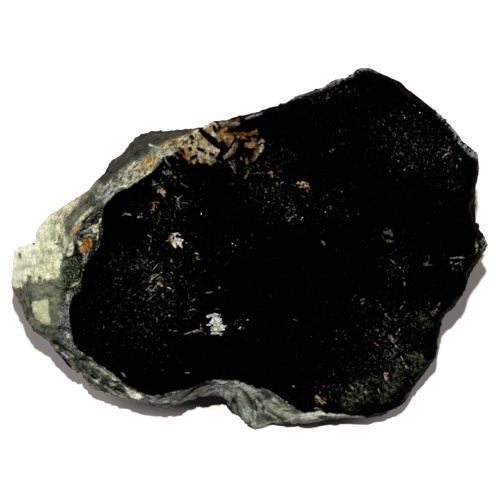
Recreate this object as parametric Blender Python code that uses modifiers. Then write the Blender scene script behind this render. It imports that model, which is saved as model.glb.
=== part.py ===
"""An aegirine specimen: a black crystal mass with a pale rind, flat on the side that shows.

The stone is one solid. It lies as it was found on a table: the flat black face looks up and
leans towards the front, because the stone is a wedge, thick at the back and thin in front.
Lengths are in millimetres until the mesh is written, +X right, +Y back, +Z up.
"""

import math

import bmesh
import bpy
from mathutils import Vector, noise

MM = 0.001
FACE_HEIGHT = 12.9          # height of the flat face over the middle of the drawing
FACE_RISE = 0.270           # rise of the flat face for each mm towards the back
FACE_TILT = -0.012          # rise of the flat face for each mm towards the right
FACE_MARGIN = 0.7           # broken edge between the flat face and a plain wall, on average
RIM_DROP = 0.9              # how far the outline lies below the flat face there, on average
WEAR_CHANGE = 1.3           # how much both of these change around the stone
WEAR_SIZE = 4.3             # length over which they change
SPARE = 1.5                 # stone above the flat face and below the foot before both cuts
CROWN_INSET = 0.5           # how far inside the flat face's edge the profiles start

STATIONS = 560              # profiles around the stone
FLANK_BANDS = 18            # rings from the flat face out to the outline
UNDER_BANDS = 20            # rings from the outline down to the foot
FLANK_CURVE = 1.7           # how late a flank turns down: 1 is straight
UNDER_CURVE = 2.2           # how late a wall turns in towards the foot
UNDER_MOST = 1.3            # the most it turns in, as a share of the foot's inset
EASED_OVER = 6              # profiles to each side that share their shortfall to the outline

GRAIN = 0.42                # side of the cubes that the rough stone is rebuilt from
GRAIN_LOSS = 0.15           # what the rebuilding takes off an outer edge
TRIANGLES = 9900            # left by the thinning
SHORTEST_EDGE = 0.03        # edges shorter than this are closed up after the cuts

# The outline seen from straight above, counter-clockwise from the right-hand tip.
OUTLINE = [
    (47.7, 1.0), (47.0, 2.6), (46.0, 4.0), (45.2, 5.0), (44.9, 9.0), (45.1, 13.0),
    (45.7, 16.0), (45.5, 18.6), (44.6, 20.0), (42.6, 21.5), (41.0, 23.6), (40.0, 24.8),
    (37.6, 27.0), (35.0, 29.2), (33.4, 30.6), (31.0, 32.3), (30.0, 33.4), (28.6, 34.0),
    (25.6, 35.4), (23.6, 36.4), (22.0, 36.0), (20.8, 35.4), (20.0, 34.4), (18.0, 34.0),
    (16.0, 32.9), (13.0, 31.5), (12.2, 31.0), (10.0, 30.7), (8.6, 30.4), (7.4, 29.4),
    (6.0, 28.9), (3.0, 28.1), (1.0, 27.4), (-1.0, 27.0), (-3.4, 26.5), (-4.4, 25.9),
    (-7.4, 25.7), (-9.2, 24.5), (-12.0, 24.2), (-20.0, 23.6), (-21.6, 23.1), (-24.0, 21.1),
    (-25.2, 19.4), (-27.0, 18.2), (-28.2, 16.9), (-28.8, 15.6), (-31.2, 13.3), (-32.0, 12.1),
    (-34.0, 10.9), (-36.0, 9.4), (-38.2, 8.1), (-40.2, 6.8), (-41.6, 5.2), (-42.4, 3.6),
    (-43.2, 1.5), (-45.8, 0.6), (-47.0, -0.2), (-47.2, -2.4), (-47.5, -5.0), (-47.7, -7.4),
    (-47.0, -9.2), (-45.8, -11.6), (-44.8, -13.8), (-43.4, -15.8), (-42.0, -17.0),
    (-40.4, -18.2), (-38.8, -20.4), (-37.4, -22.0), (-35.8, -23.9), (-34.0, -25.0),
    (-32.6, -26.8), (-31.2, -28.2), (-29.0, -28.6), (-26.2, -29.8), (-24.2, -29.9),
    (-20.0, -31.1), (-17.0, -31.7), (-14.0, -30.7), (-10.0, -29.6), (-8.2, -29.4),
    (-6.2, -29.3), (-5.0, -30.2), (-3.6, -32.4), (-2.0, -33.8), (0.0, -35.6), (0.8, -36.0),
    (2.4, -35.7), (4.4, -35.1), (8.0, -34.9), (11.0, -34.8), (14.0, -34.2), (17.0, -33.8),
    (20.4, -33.6), (24.0, -33.8), (26.6, -33.3), (28.0, -32.2), (29.6, -31.7), (31.0, -30.6),
    (32.6, -27.8), (34.6, -25.2), (36.0, -23.0), (37.3, -21.4), (37.5, -18.2), (38.1, -16.0),
    (38.2, -14.4), (39.2, -12.6), (40.8, -11.6), (42.0, -9.6), (43.0, -8.2), (44.0, -5.0),
    (45.4, -2.8), (46.6, -0.8),
]

# Where the flat face ends against the rind. To the right and along the back no rind shows,
# so the line runs outside the outline there and the face ends at its broken edge.
FACE_LINE = [
    (52.0, -8.0), (52.0, 20.0), (30.0, 40.0), (16.0, 38.0), (2.0, 30.0), (-5.0, 26.0),
    (-10.4, 23.6), (-13.4, 21.4), (-15.2, 18.6), (-17.6, 18.2), (-19.4, 15.8), (-22.4, 13.8),
    (-25.4, 12.2), (-28.2, 10.2), (-29.4, 7.6), (-29.6, 3.4), (-30.4, 0.8), (-32.6, -2.4),
    (-33.6, -6.0), (-34.6, -8.8), (-35.8, -10.8), (-35.9, -15.2), (-35.0, -19.2),
    (-33.0, -21.0), (-29.4, -23.4), (-25.6, -26.2), (-21.8, -28.4), (-19.4, -29.3),
    (-16.0, -28.6), (-12.0, -27.6), (-8.6, -26.2), (-2.4, -26.2), (0.6, -27.6), (4.0, -28.0),
    (6.6, -30.0), (9.4, -32.0), (11.0, -33.2), (14.0, -36.0), (34.0, -36.0),
]

# Height of the outline over the table, by compass angle around the stone: 0 is the
# right-hand side, 90 the back. Between the last and the first entry the flat face sets it.
RIM_HEIGHT = {
    112: 18.6, 120: 14.6, 130: 12.6, 142: 11.2, 155: 10.2, 168: 9.2, 178: 8.8, 188: 8.4,
    198: 7.8, 206: 7.2, 214: 5.6, 222: 4.2, 229: 4.2, 236: 5.0, 244: 4.8, 252: 4.2, 258: 3.6,
    262: 1.8, 266: 0.8, 270: 0.15, 275: 0.5, 283: 1.1, 290: 2.0,
}
RIM_BLEND = 8.0             # degrees past the last entry over which the flat face takes over

# How far the foot lies inside the outline, by the same compass angle.
FOOT_INSET = {
    0: 9.0, 20: 7.0, 45: 9.5, 70: 7.0, 95: 9.0, 120: 7.0, 150: 8.0, 175: 11.5, 195: 10.0,
    218: 7.0, 240: 5.0, 256: 4.5, 265: 2.2, 271: 1.2, 278: 2.2, 290: 3.6, 305: 4.4, 325: 5.5,
    345: 8.0,
}

# The relief grows to its full depth over a flank this wide and a wall this high.
FULL_FLANK = 4.0
FULL_WALL = 12.0
FLANK_LEAST = 0.2           # share of the relief that a flank has at its very edges

# Broken facets, as the size of a facet and how far it leans, and the lumps over them.
FLANK_FACETS = [(7.5, 3.1, 1.25), (2.9, 8.4, 0.6)]
WALL_FACETS = [(13.0, 5.7, 2.2), (5.2, 1.9, 1.2)]
WALL_SHARE = 0.5            # how much of the flank's relief the walls have as well
LUMP_SIZE = 6.25
LUMP_HEIGHT = 0.45

# The thick cream crust on the left-hand tip, broken off in a step towards the front.
CRUST = [
    (-49.0, 0.0), (-44.0, 3.0), (-38.6, 9.0), (-36.4, 4.0), (-37.8, -1.2), (-37.4, -6.2),
    (-38.8, -7.0), (-40.2, -5.8), (-41.8, -7.2), (-43.2, -5.8), (-45.0, -6.8), (-49.0, -6.2),
]
CRUST_STEP = 0.75
BLOCK = [(-43.6, -10.0), (-40.4, -9.6), (-39.8, -14.6), (-41.2, -15.6), (-43.0, -13.6)]
BLOCK_STEP = 0.5
STEP_GROWTH = 1.6           # how fast these come in from the edges of the flank

# Pits and hollows in the rind: x, y, radius, depth.
PITS = [
    (-38.4, -18.9, 0.9, 0.7), (-37.0, -19.6, 0.8, 0.7), (-33.6, -22.3, 1.0, 0.7),
    (-31.0, -25.3, 0.9, 0.7), (-29.0, -26.6, 1.1, 0.8), (-26.6, -27.7, 0.8, 0.5),
    (-36.4, -4.6, 1.4, 0.9), (-35.9, -8.0, 1.2, 0.8), (-34.2, 1.6, 1.1, 0.6),
    (-31.8, 5.6, 1.0, 0.5), (-38.6, -23.4, 0.7, 0.4), (-3.4, -30.8, 0.7, 0.6),
    (2.6, -30.6, 0.7, 0.5), (-20.2, 18.0, 1.2, 0.4), (-30.6, 11.6, 1.0, 0.5),
]

# Ridges between the broken facets of the rind: start, end, height, half width.
RIDGES = [
    ((-1.4, -27.2), (0.6, -35.4), 0.9, 2.4), ((4.6, -28.4), (6.4, -34.4), 0.7, 2.6),
    ((-33.0, 9.6), (-21.0, 20.6), 0.7, 1.8), ((-37.0, 6.0), (-33.4, 3.0), 0.6, 1.5),
    ((-44.0, -10.5), (-36.0, -20.5), 0.6, 1.6), ((-34.6, -20.4), (-27.0, -26.6), 0.45, 1.1),
    ((-18.6, 21.2), (-13.6, 22.6), 0.5, 1.4), ((-40.6, 4.4), (-39.2, -4.6), 0.5, 1.3),
]

# Ledges in the walls under the outline: height over the table as a share of the outline's
# own, depth of the step in mm, and the angles it runs between.
LEDGES = [
    (0.72, 1.3, 18, 62), (0.42, 1.0, 40, 84), (0.58, 1.6, 88, 128), (0.35, 1.2, 118, 158),
    (0.55, 1.3, 160, 215), (0.66, 1.1, 318, 344), (0.45, 0.5, 356, 378),
]
LEDGE_SOFTNESS = 0.9        # height over which a ledge's step comes in
LEDGE_WANDER = 2.0          # how far its line goes up and down
LEDGE_WAVE = 3.3            # length over which it does

# What the second material covers: the flank by compass angle, above the foot.
RIND_ANGLES = (104, 296)
RIND_LOWEST = 1.0
RIND_OVERLAP = 0.1


def by_angle(table, angle):
    """A value from a table by compass angle, eased between its entries."""
    keys = sorted(table)
    for low, high in zip(keys, keys[1:] + [keys[0] + 360]):
        if low <= angle < high or low <= angle + 360 < high:
            share = ((angle - low) % 360) / (high - low)
            share = share * share * (3 - 2 * share)
            return table[low] * (1 - share) + table[high % 360] * share
    return table[keys[0]]


def face_height(x, y):
    """Height of the flat face over the table."""
    return FACE_HEIGHT + FACE_TILT * x + FACE_RISE * y


def reach(line, direction):
    """How far a closed line lies from the middle of the stone in one direction."""
    across = Vector((-direction.y, direction.x))
    farthest = 0.0
    for start, end in zip(line, line[1:] + line[:1]):
        start, end = Vector(start), Vector(end)
        near, far = start.dot(across), end.dot(across)
        if (near > 0) != (far > 0):
            farthest = max(farthest, start.lerp(end, near / (near - far)).dot(direction))
    return farthest


def inside(line, x, y):
    """Whether a point lies inside a closed line."""
    odd = False
    for (ax, ay), (bx, by) in zip(line, line[1:] + line[:1]):
        if (ay > y) != (by > y) and x < ax + (bx - ax) * (y - ay) / (by - ay):
            odd = not odd
    return odd


def spaced(line, count):
    """Points at equal steps along a closed line."""
    corners = [Vector(point) for point in line]
    sides = list(zip(corners, corners[1:] + corners[:1]))
    lengths = [(b - a).length for a, b in sides]
    step = sum(lengths) / count
    points, walked, side = [], 0.0, 0
    for index in range(count):
        target = index * step
        while walked + lengths[side] < target:
            walked += lengths[side]
            side += 1
        a, b = sides[side]
        points.append(a.lerp(b, (target - walked) / lengths[side]))
    return points


def worn(x, y):
    """How strongly the edge of the flat face is broken away at a place, about 1 on average."""
    place = Vector((x / WEAR_SIZE, y / WEAR_SIZE, LUMP_SIZE))
    return 1.0 + WEAR_CHANGE * noise.noise(place)


def rim_height(x, y, angle):
    """Height of the outline: by its table on the rind, else just under the flat face."""
    plain = face_height(x, y) - RIM_DROP * worn(x, y)
    first, last = min(RIM_HEIGHT), max(RIM_HEIGHT)
    if first <= angle <= last:
        return min(by_angle(RIM_HEIGHT, angle), plain)
    past = (angle - last) % 360
    share = min(past / RIM_BLEND, 1.0)
    return RIM_HEIGHT[last] * (1 - share) + plain * share


def profile(rim):
    """One profile of the stone, from above the flat face round the outline to under the foot.

    Returns points with a weight, the share of the rough relief that each one takes.
    """
    radius = rim.length
    out = rim / radius
    angle = math.degrees(math.atan2(out.y, out.x)) % 360
    edge = min(reach(FACE_LINE, out), radius - FACE_MARGIN * worn(rim.x, rim.y))
    edge_point = out * edge
    top = face_height(edge_point.x, edge_point.y)
    low = rim_height(rim.x, rim.y, angle)

    points = [(Vector((*(out * (edge - CROWN_INSET)), top + SPARE)), 0.0)]
    for band in range(FLANK_BANDS + 1):
        share = band / FLANK_BANDS
        place = edge_point.lerp(rim, share)
        height = top + (low - top) * share ** FLANK_CURVE
        arch = FLANK_LEAST + (1 - FLANK_LEAST) * math.sin(math.pi * share) if band else 0.0
        points.append((Vector((*place, height)), arch * min((radius - edge) / FULL_FLANK, 1.0)))

    inset = by_angle(FOOT_INSET, angle)
    whole = low + SPARE
    for band in range(1, UNDER_BANDS + 1):
        fallen = whole * band / UNDER_BANDS
        inward = inset * min((fallen / max(low, SPARE)) ** UNDER_CURVE, UNDER_MOST)
        arch = math.sin(math.pi * min(fallen / max(low, 1.0), 1.0))
        point = Vector((*(out * (radius - inward)), low - fallen))
        points.append((point, max(arch, 0.0) * min(low / FULL_WALL, 1.0)))
    return points


def fracture(point, size, seed):
    """Broken facets: every cell of the stone has its own lean and level, from -1 to 1."""
    place = point / size + Vector((seed, seed * 0.7, seed * 1.3))
    core = noise.voronoi(place)[1][0]
    lean = noise.cell_vector(core * 5.3) - Vector((0.5, 0.5, 0.5))
    level = noise.cell(core * 3.7) - 0.5
    return lean.dot(place - core) * 1.6 + level * 0.7


def rough(point):
    """The rough relief of the rind, in mm: big facets, small facets and lumps."""
    facets = sum(fracture(point, size, seed) * depth for size, seed, depth in FLANK_FACETS)
    return facets + noise.fractal(point / LUMP_SIZE, 0.9, 2.0, 4) * LUMP_HEIGHT


def cleaved(point):
    """The relief of the walls, in mm: broad cleavage faces with steps between them."""
    facets = sum(fracture(point, size, seed) * depth for size, seed, depth in WALL_FACETS)
    return facets + rough(point) * WALL_SHARE


def raised(point):
    """How far the crust, the block, the ridges and the pits lift or sink the rind."""
    lift = 0.0
    if inside(CRUST, point.x, point.y):
        lift += CRUST_STEP
    if inside(BLOCK, point.x, point.y):
        lift += BLOCK_STEP
    for x, y, radius, depth in PITS:
        away = math.hypot(point.x - x, point.y - y) / radius
        lift -= depth * max(0.0, 1 - away * away)
    for start, end, height, half in RIDGES:
        start, end = Vector(start), Vector(end)
        along = end - start
        flat = point.to_2d()
        share = max(0.0, min(1.0, (flat - start).dot(along) / along.length_squared))
        away = (flat - start.lerp(end, share)).length / half
        lift += height * max(0.0, 1 - away)
    return lift


def ledge(point, low):
    """How far a ledge under the outline cuts in at this point."""
    angle = math.degrees(math.atan2(point.y, point.x)) % 360
    cut = 0.0
    for share, depth, first, last in LEDGES:
        if not (first <= angle <= last or first <= angle + 360 <= last):
            continue
        line = low * share + noise.noise(point / LEDGE_WAVE) * LEDGE_WANDER
        cut += depth * max(0.0, min(1.0, (line - point.z) / LEDGE_SOFTNESS))
    return cut


def roughen(rim, column):
    """Where the vertices of one profile go once the rind and the walls are broken."""
    out = rim.normalized()
    low = rim_height(rim.x, rim.y, math.degrees(math.atan2(rim.y, rim.x)) % 360)
    places = []
    for index, (vertex, weight) in enumerate(column):
        if index > FLANK_BANDS + 1:
            inward = out * ledge(vertex.co, low) * weight
            move = vertex.normal * cleaved(vertex.co) * weight - Vector((*inward, 0.0))
        else:
            move = vertex.normal * rough(vertex.co) * weight
        if 1 < index <= FLANK_BANDS:
            move.z += raised(vertex.co) * min(weight * STEP_GROWTH, 1.0)
        places.append(vertex.co + move)
    return places


def shortfalls(rims, broken):
    """How far each roughened profile stays inside the outline, eased around the stone."""
    missing = []
    for rim, places in zip(rims, broken):
        out = rim.normalized()
        farthest = max(place.to_2d().dot(out) for place in places)
        missing.append(rim.length + GRAIN_LOSS - farthest)
    steps = range(-EASED_OVER, EASED_OVER + 1)
    return [sum(missing[(index + step) % len(missing)] for step in steps) / len(steps)
            for index in range(len(missing))]


def meet_outline(rim, places, missing):
    """Brings one roughened profile back out to the outline, more the nearer it is to it."""
    out = rim.normalized()
    start = places[0].to_2d().dot(out)
    for place in places:
        share = max(0.0, place.to_2d().dot(out) - start) / (rim.length - start)
        place += Vector((*(out * missing * share), 0.0))


def loft_stone():
    """The stone before its two flat sides are cut, as a closed mesh of profiles."""
    mesh = bmesh.new()
    rims = spaced(OUTLINE, STATIONS)
    columns = [[(mesh.verts.new(p), w) for p, w in profile(rim)] for rim in rims]
    for left, right in zip(columns, columns[1:] + columns[:1]):
        for band in range(len(left) - 1):
            corners = (left[band], right[band], right[band + 1], left[band + 1])
            mesh.faces.new([vertex for vertex, weight in reversed(corners)])
    mesh.faces.new([column[0][0] for column in columns])
    mesh.faces.new([column[-1][0] for column in reversed(columns)])
    mesh.normal_update()

    broken = [roughen(rim, column) for rim, column in zip(rims, columns)]
    for rim, places, missing in zip(rims, broken, shortfalls(rims, broken)):
        meet_outline(rim, places, missing)
    for column, places in zip(columns, broken):
        for (vertex, weight), place in zip(column, places):
            vertex.co = place
    return mesh


def thinned(source):
    """The same stone as one clean skin, dense where it is rough and thin where it is plain."""
    data = bpy.data.meshes.new("rough_stone")
    source.to_mesh(data)
    source.free()
    rough_stone = bpy.data.objects.new("rough_stone", data)
    bpy.context.scene.collection.objects.link(rough_stone)
    skin = rough_stone.modifiers.new("skin", "REMESH")
    skin.mode = "VOXEL"
    skin.voxel_size = GRAIN
    thin = rough_stone.modifiers.new("thin", "DECIMATE")
    thin.use_collapse_triangulate = True
    thin.ratio = 0.5
    depsgraph = bpy.context.evaluated_depsgraph_get()
    count = len(rough_stone.evaluated_get(depsgraph).to_mesh().polygons)
    thin.ratio *= TRIANGLES / count
    depsgraph = bpy.context.evaluated_depsgraph_get()
    evaluated = rough_stone.evaluated_get(depsgraph)
    result = bmesh.new()
    result.from_mesh(evaluated.to_mesh())
    evaluated.to_mesh_clear()
    bpy.data.objects.remove(rough_stone)
    bpy.data.meshes.remove(data)
    return result


def drop_crumbs(mesh):
    """Removes the crumbs that the roughening or a cut left loose beside the stone."""
    bodies, left = [], set(mesh.verts)
    while left:
        body, edge = set(), [left.pop()]
        while edge:
            vertex = edge.pop()
            body.add(vertex)
            beside = {link.other_vert(vertex) for link in vertex.link_edges} & left
            left -= beside
            edge.extend(beside)
        bodies.append(body)
    bodies.sort(key=len)
    for crumb in bodies[:-1]:
        bmesh.ops.delete(mesh, geom=list(crumb), context="VERTS")


def centre(mesh):
    """Brings the bottom centre of the stone's own box to the origin."""
    xs = [vertex.co.x for vertex in mesh.verts]
    ys = [vertex.co.y for vertex in mesh.verts]
    middle = Vector(((min(xs) + max(xs)) / 2, (min(ys) + max(ys)) / 2, 0.0))
    bmesh.ops.translate(mesh, vec=-middle, verts=mesh.verts)


def cut_flat(mesh, point, normal):
    """Cuts the stone along a plane, drops what lies past it and closes the cut."""
    geometry = mesh.verts[:] + mesh.edges[:] + mesh.faces[:]
    cut = bmesh.ops.bisect_plane(mesh, geom=geometry, dist=0.001, plane_co=point,
                                 plane_no=normal, clear_outer=True)
    edges = [item for item in cut["geom_cut"] if isinstance(item, bmesh.types.BMEdge)]
    bmesh.ops.holes_fill(mesh, edges=edges)


def black_crystal():
    """The black aegirine of the flat face, the back and the right-hand side."""
    material = bpy.data.materials.new("black_aegirine")
    material.use_nodes = True
    surface = material.node_tree.nodes["Principled BSDF"]
    surface.inputs["Base Color"].default_value = (0.004, 0.005, 0.004, 1.0)
    surface.inputs["Roughness"].default_value = 0.32
    surface.inputs["Metallic"].default_value = 0.0
    return material


def pale_rind():
    """The cream and grey-green altered rind of the left-hand and front flanks."""
    material = bpy.data.materials.new("pale_rind")
    material.use_nodes = True
    surface = material.node_tree.nodes["Principled BSDF"]
    surface.inputs["Base Color"].default_value = (0.30, 0.31, 0.24, 1.0)
    surface.inputs["Roughness"].default_value = 0.85
    surface.inputs["Metallic"].default_value = 0.0
    return material


def paint(data):
    """Gives the rind's flank faces the second material, and the rest the first."""
    first, last = RIND_ANGLES
    for face in data.polygons:
        place = face.center / MM
        out = place.to_2d()
        angle = math.degrees(math.atan2(out.y, out.x)) % 360
        on_flank = out.length > reach(FACE_LINE, out.normalized()) - RIND_OVERLAP
        if on_flank and first < angle < last and place.z > RIND_LOWEST:
            face.material_index = 1


def build_stone(collection):
    """The finished specimen as one object."""
    mesh = thinned(loft_stone())
    leaning = Vector((-FACE_TILT, -FACE_RISE, 1)).normalized()
    cut_flat(mesh, Vector((0, 0, FACE_HEIGHT)), leaning)
    cut_flat(mesh, Vector((0, 0, 0)), Vector((0, 0, -1)))
    drop_crumbs(mesh)
    bmesh.ops.dissolve_degenerate(mesh, dist=SHORTEST_EDGE, edges=mesh.edges)
    centre(mesh)
    bmesh.ops.scale(mesh, vec=(MM, MM, MM), verts=mesh.verts)
    bmesh.ops.recalc_face_normals(mesh, faces=mesh.faces)
    data = bpy.data.meshes.new("aegirine_crystal")
    mesh.to_mesh(data)
    mesh.free()
    data.materials.append(black_crystal())
    data.materials.append(pale_rind())
    paint(data)
    stone = bpy.data.objects.new("aegirine_crystal", data)
    collection.objects.link(stone)
    return stone


def main():
    """Clears the scene and builds the specimen in a collection of its own."""
    for item in list(bpy.data.objects):
        bpy.data.objects.remove(item)
    collection = bpy.data.collections.new("aegirine_specimen")
    bpy.context.scene.collection.children.link(collection)
    build_stone(collection)


main()
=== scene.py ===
import math
import random

import bpy
import numpy as np
from mathutils import Matrix, Vector, noise


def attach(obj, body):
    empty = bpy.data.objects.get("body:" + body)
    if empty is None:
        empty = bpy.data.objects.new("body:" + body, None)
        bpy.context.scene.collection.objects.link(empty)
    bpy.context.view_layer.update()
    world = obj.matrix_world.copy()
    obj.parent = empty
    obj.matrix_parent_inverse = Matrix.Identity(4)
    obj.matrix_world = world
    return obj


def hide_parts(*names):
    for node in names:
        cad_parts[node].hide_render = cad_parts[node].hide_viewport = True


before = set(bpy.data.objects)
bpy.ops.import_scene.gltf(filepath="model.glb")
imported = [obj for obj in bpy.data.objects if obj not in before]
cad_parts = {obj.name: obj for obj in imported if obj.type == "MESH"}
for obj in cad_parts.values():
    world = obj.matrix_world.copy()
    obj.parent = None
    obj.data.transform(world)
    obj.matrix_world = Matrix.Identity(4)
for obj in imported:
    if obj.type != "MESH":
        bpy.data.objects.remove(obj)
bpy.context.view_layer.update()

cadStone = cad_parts["aegirine_crystal"]

# Where the photo's pixels fall on the stone: metres a pixel, and the pixel over the origin
photo = {"pixel": 0.0002, "originX": 249.79, "originY": 248.95, "middle": 250.0, "across": 0.1}


def atPixel(px, py):
    return (px - photo["originX"]) * photo["pixel"], (photo["originY"] - py) * photo["pixel"]


def inPixels(points):
    return np.stack([points[:, 0] / photo["pixel"] + photo["originX"],
                     photo["originY"] - points[:, 1] / photo["pixel"]], 1)


def linear(hexText):
    # a colour given as on screen, as the shader wants it
    parts = [int(hexText[i:i + 2], 16) / 255 for i in (0, 2, 4)]
    return tuple(c / 12.92 if c < 0.04 else ((c + 0.055) / 1.055) ** 2.4 for c in parts) + (1.0,)


def useOnly(piece):
    # the CAD nodes come in selected, so everything is let go of first
    bpy.ops.object.select_all(action="DESELECT")
    piece.select_set(True)
    bpy.context.view_layer.objects.active = piece


def getPoints(piece):
    flat = np.empty(len(piece.data.vertices) * 3, np.float32)
    piece.data.vertices.foreach_get("co", flat)
    return flat.reshape(-1, 3).astype(float)


def setPoints(piece, points):
    piece.data.vertices.foreach_set("co", points.astype(np.float32).ravel())
    piece.data.update()


def getNormals(piece):
    flat = np.empty(len(piece.data.vertices) * 3, np.float32)
    piece.data.vertex_normals.foreach_get("vector", flat)
    return flat.reshape(-1, 3).astype(float)


def ripple(points, size, seed):
    # smooth noise from about -1 to 1, with lumps of the given size in metres
    return np.array([noise.noise(Vector(p)) for p in points / np.array(size) + seed])


def fracture(points, size, seed, height):
    # broken facets: every cell leans its own way and sits at its own level
    lifts = np.empty(len(points))
    for i, p in enumerate(points / size + seed):
        place = Vector(p)
        core = noise.voronoi(place)[1][0]
        lean = noise.cell_vector(core * 5.3) - Vector((0.5, 0.5, 0.5))
        lifts[i] = lean.dot(place - core) * 1.6 + (noise.cell(core * 3.7) - 0.5) * 0.7
    return lifts * height


def smoothStep(values, low, high):
    share = np.clip((values - low) / (high - low), 0, 1)
    return share * share * (3 - 2 * share)


def sideDistance(pixels, start, end):
    along = end - start
    share = np.clip(((pixels - start) @ along) / max(along @ along, 1e-9), 0, 1)
    return np.linalg.norm(pixels - start - share[:, None] * along, axis=1)


def areaDepth(pixels, outline):
    # how deep inside a closed outline each pixel lies, below zero outside it
    corners = np.array(outline, float).reshape(-1, 2)
    nearest = np.full(len(pixels), 1e9)
    odd = np.zeros(len(pixels), bool)
    for start, end in zip(corners, np.roll(corners, -1, 0)):
        nearest = np.minimum(nearest, sideDistance(pixels, start, end))
        crosses = (start[1] > pixels[:, 1]) != (end[1] > pixels[:, 1])
        rise = end[1] - start[1] or 1e-9
        odd ^= crosses & (pixels[:, 0] < start[0] + (pixels[:, 1] - start[1]) * (end[0] - start[0]) / rise)
    return np.where(odd, nearest, -nearest)


def strokeDepth(pixels, line, width):
    corners = np.array(line, float).reshape(-1, 2)
    nearest = np.full(len(pixels), 1e9)
    for start, end in zip(corners, corners[1:]):
        nearest = np.minimum(nearest, sideDistance(pixels, start, end))
    return width / 2 - nearest


# The edge of the black face against the rind, in the photo's pixels as x, y, x, y and so on, like
# every outline here; it runs outside the stone where the black goes right to the outline
blackEdge = [
    165, 138, 172, 148, 180, 150, 175, 152, 170, 155, 163, 158, 160, 165, 155, 169, 150, 173, 145, 177,
    138, 181, 130, 187, 120, 191, 113, 195, 110, 200, 104, 205, 103, 212, 102, 218, 101, 224, 103, 233,
    100, 243, 97, 250, 90, 258, 86, 263, 83, 270, 82, 280, 80, 290, 76, 294, 72, 297, 70, 303, 69, 310,
    70, 330, 74, 345, 79, 350, 86, 356, 95, 363, 104, 368, 113, 375, 122, 382, 132, 388, 140, 392, 150, 396,
    160, 396, 170, 393, 180, 391, 190, 389, 200, 385, 206, 382, 215, 380, 238, 381, 243, 383, 248, 386,
    255, 388, 270, 390, 276, 395, 283, 400, 290, 405, 297, 410, 303, 413, 322, 411.5, 330, 414, 340, 414.5,
    352, 415.5, 365, 417.5, 374, 424, 440, 440, 520, 300, 520, 100, 380, 40, 250, 90, 200, 112, 168, 124,
]
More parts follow.
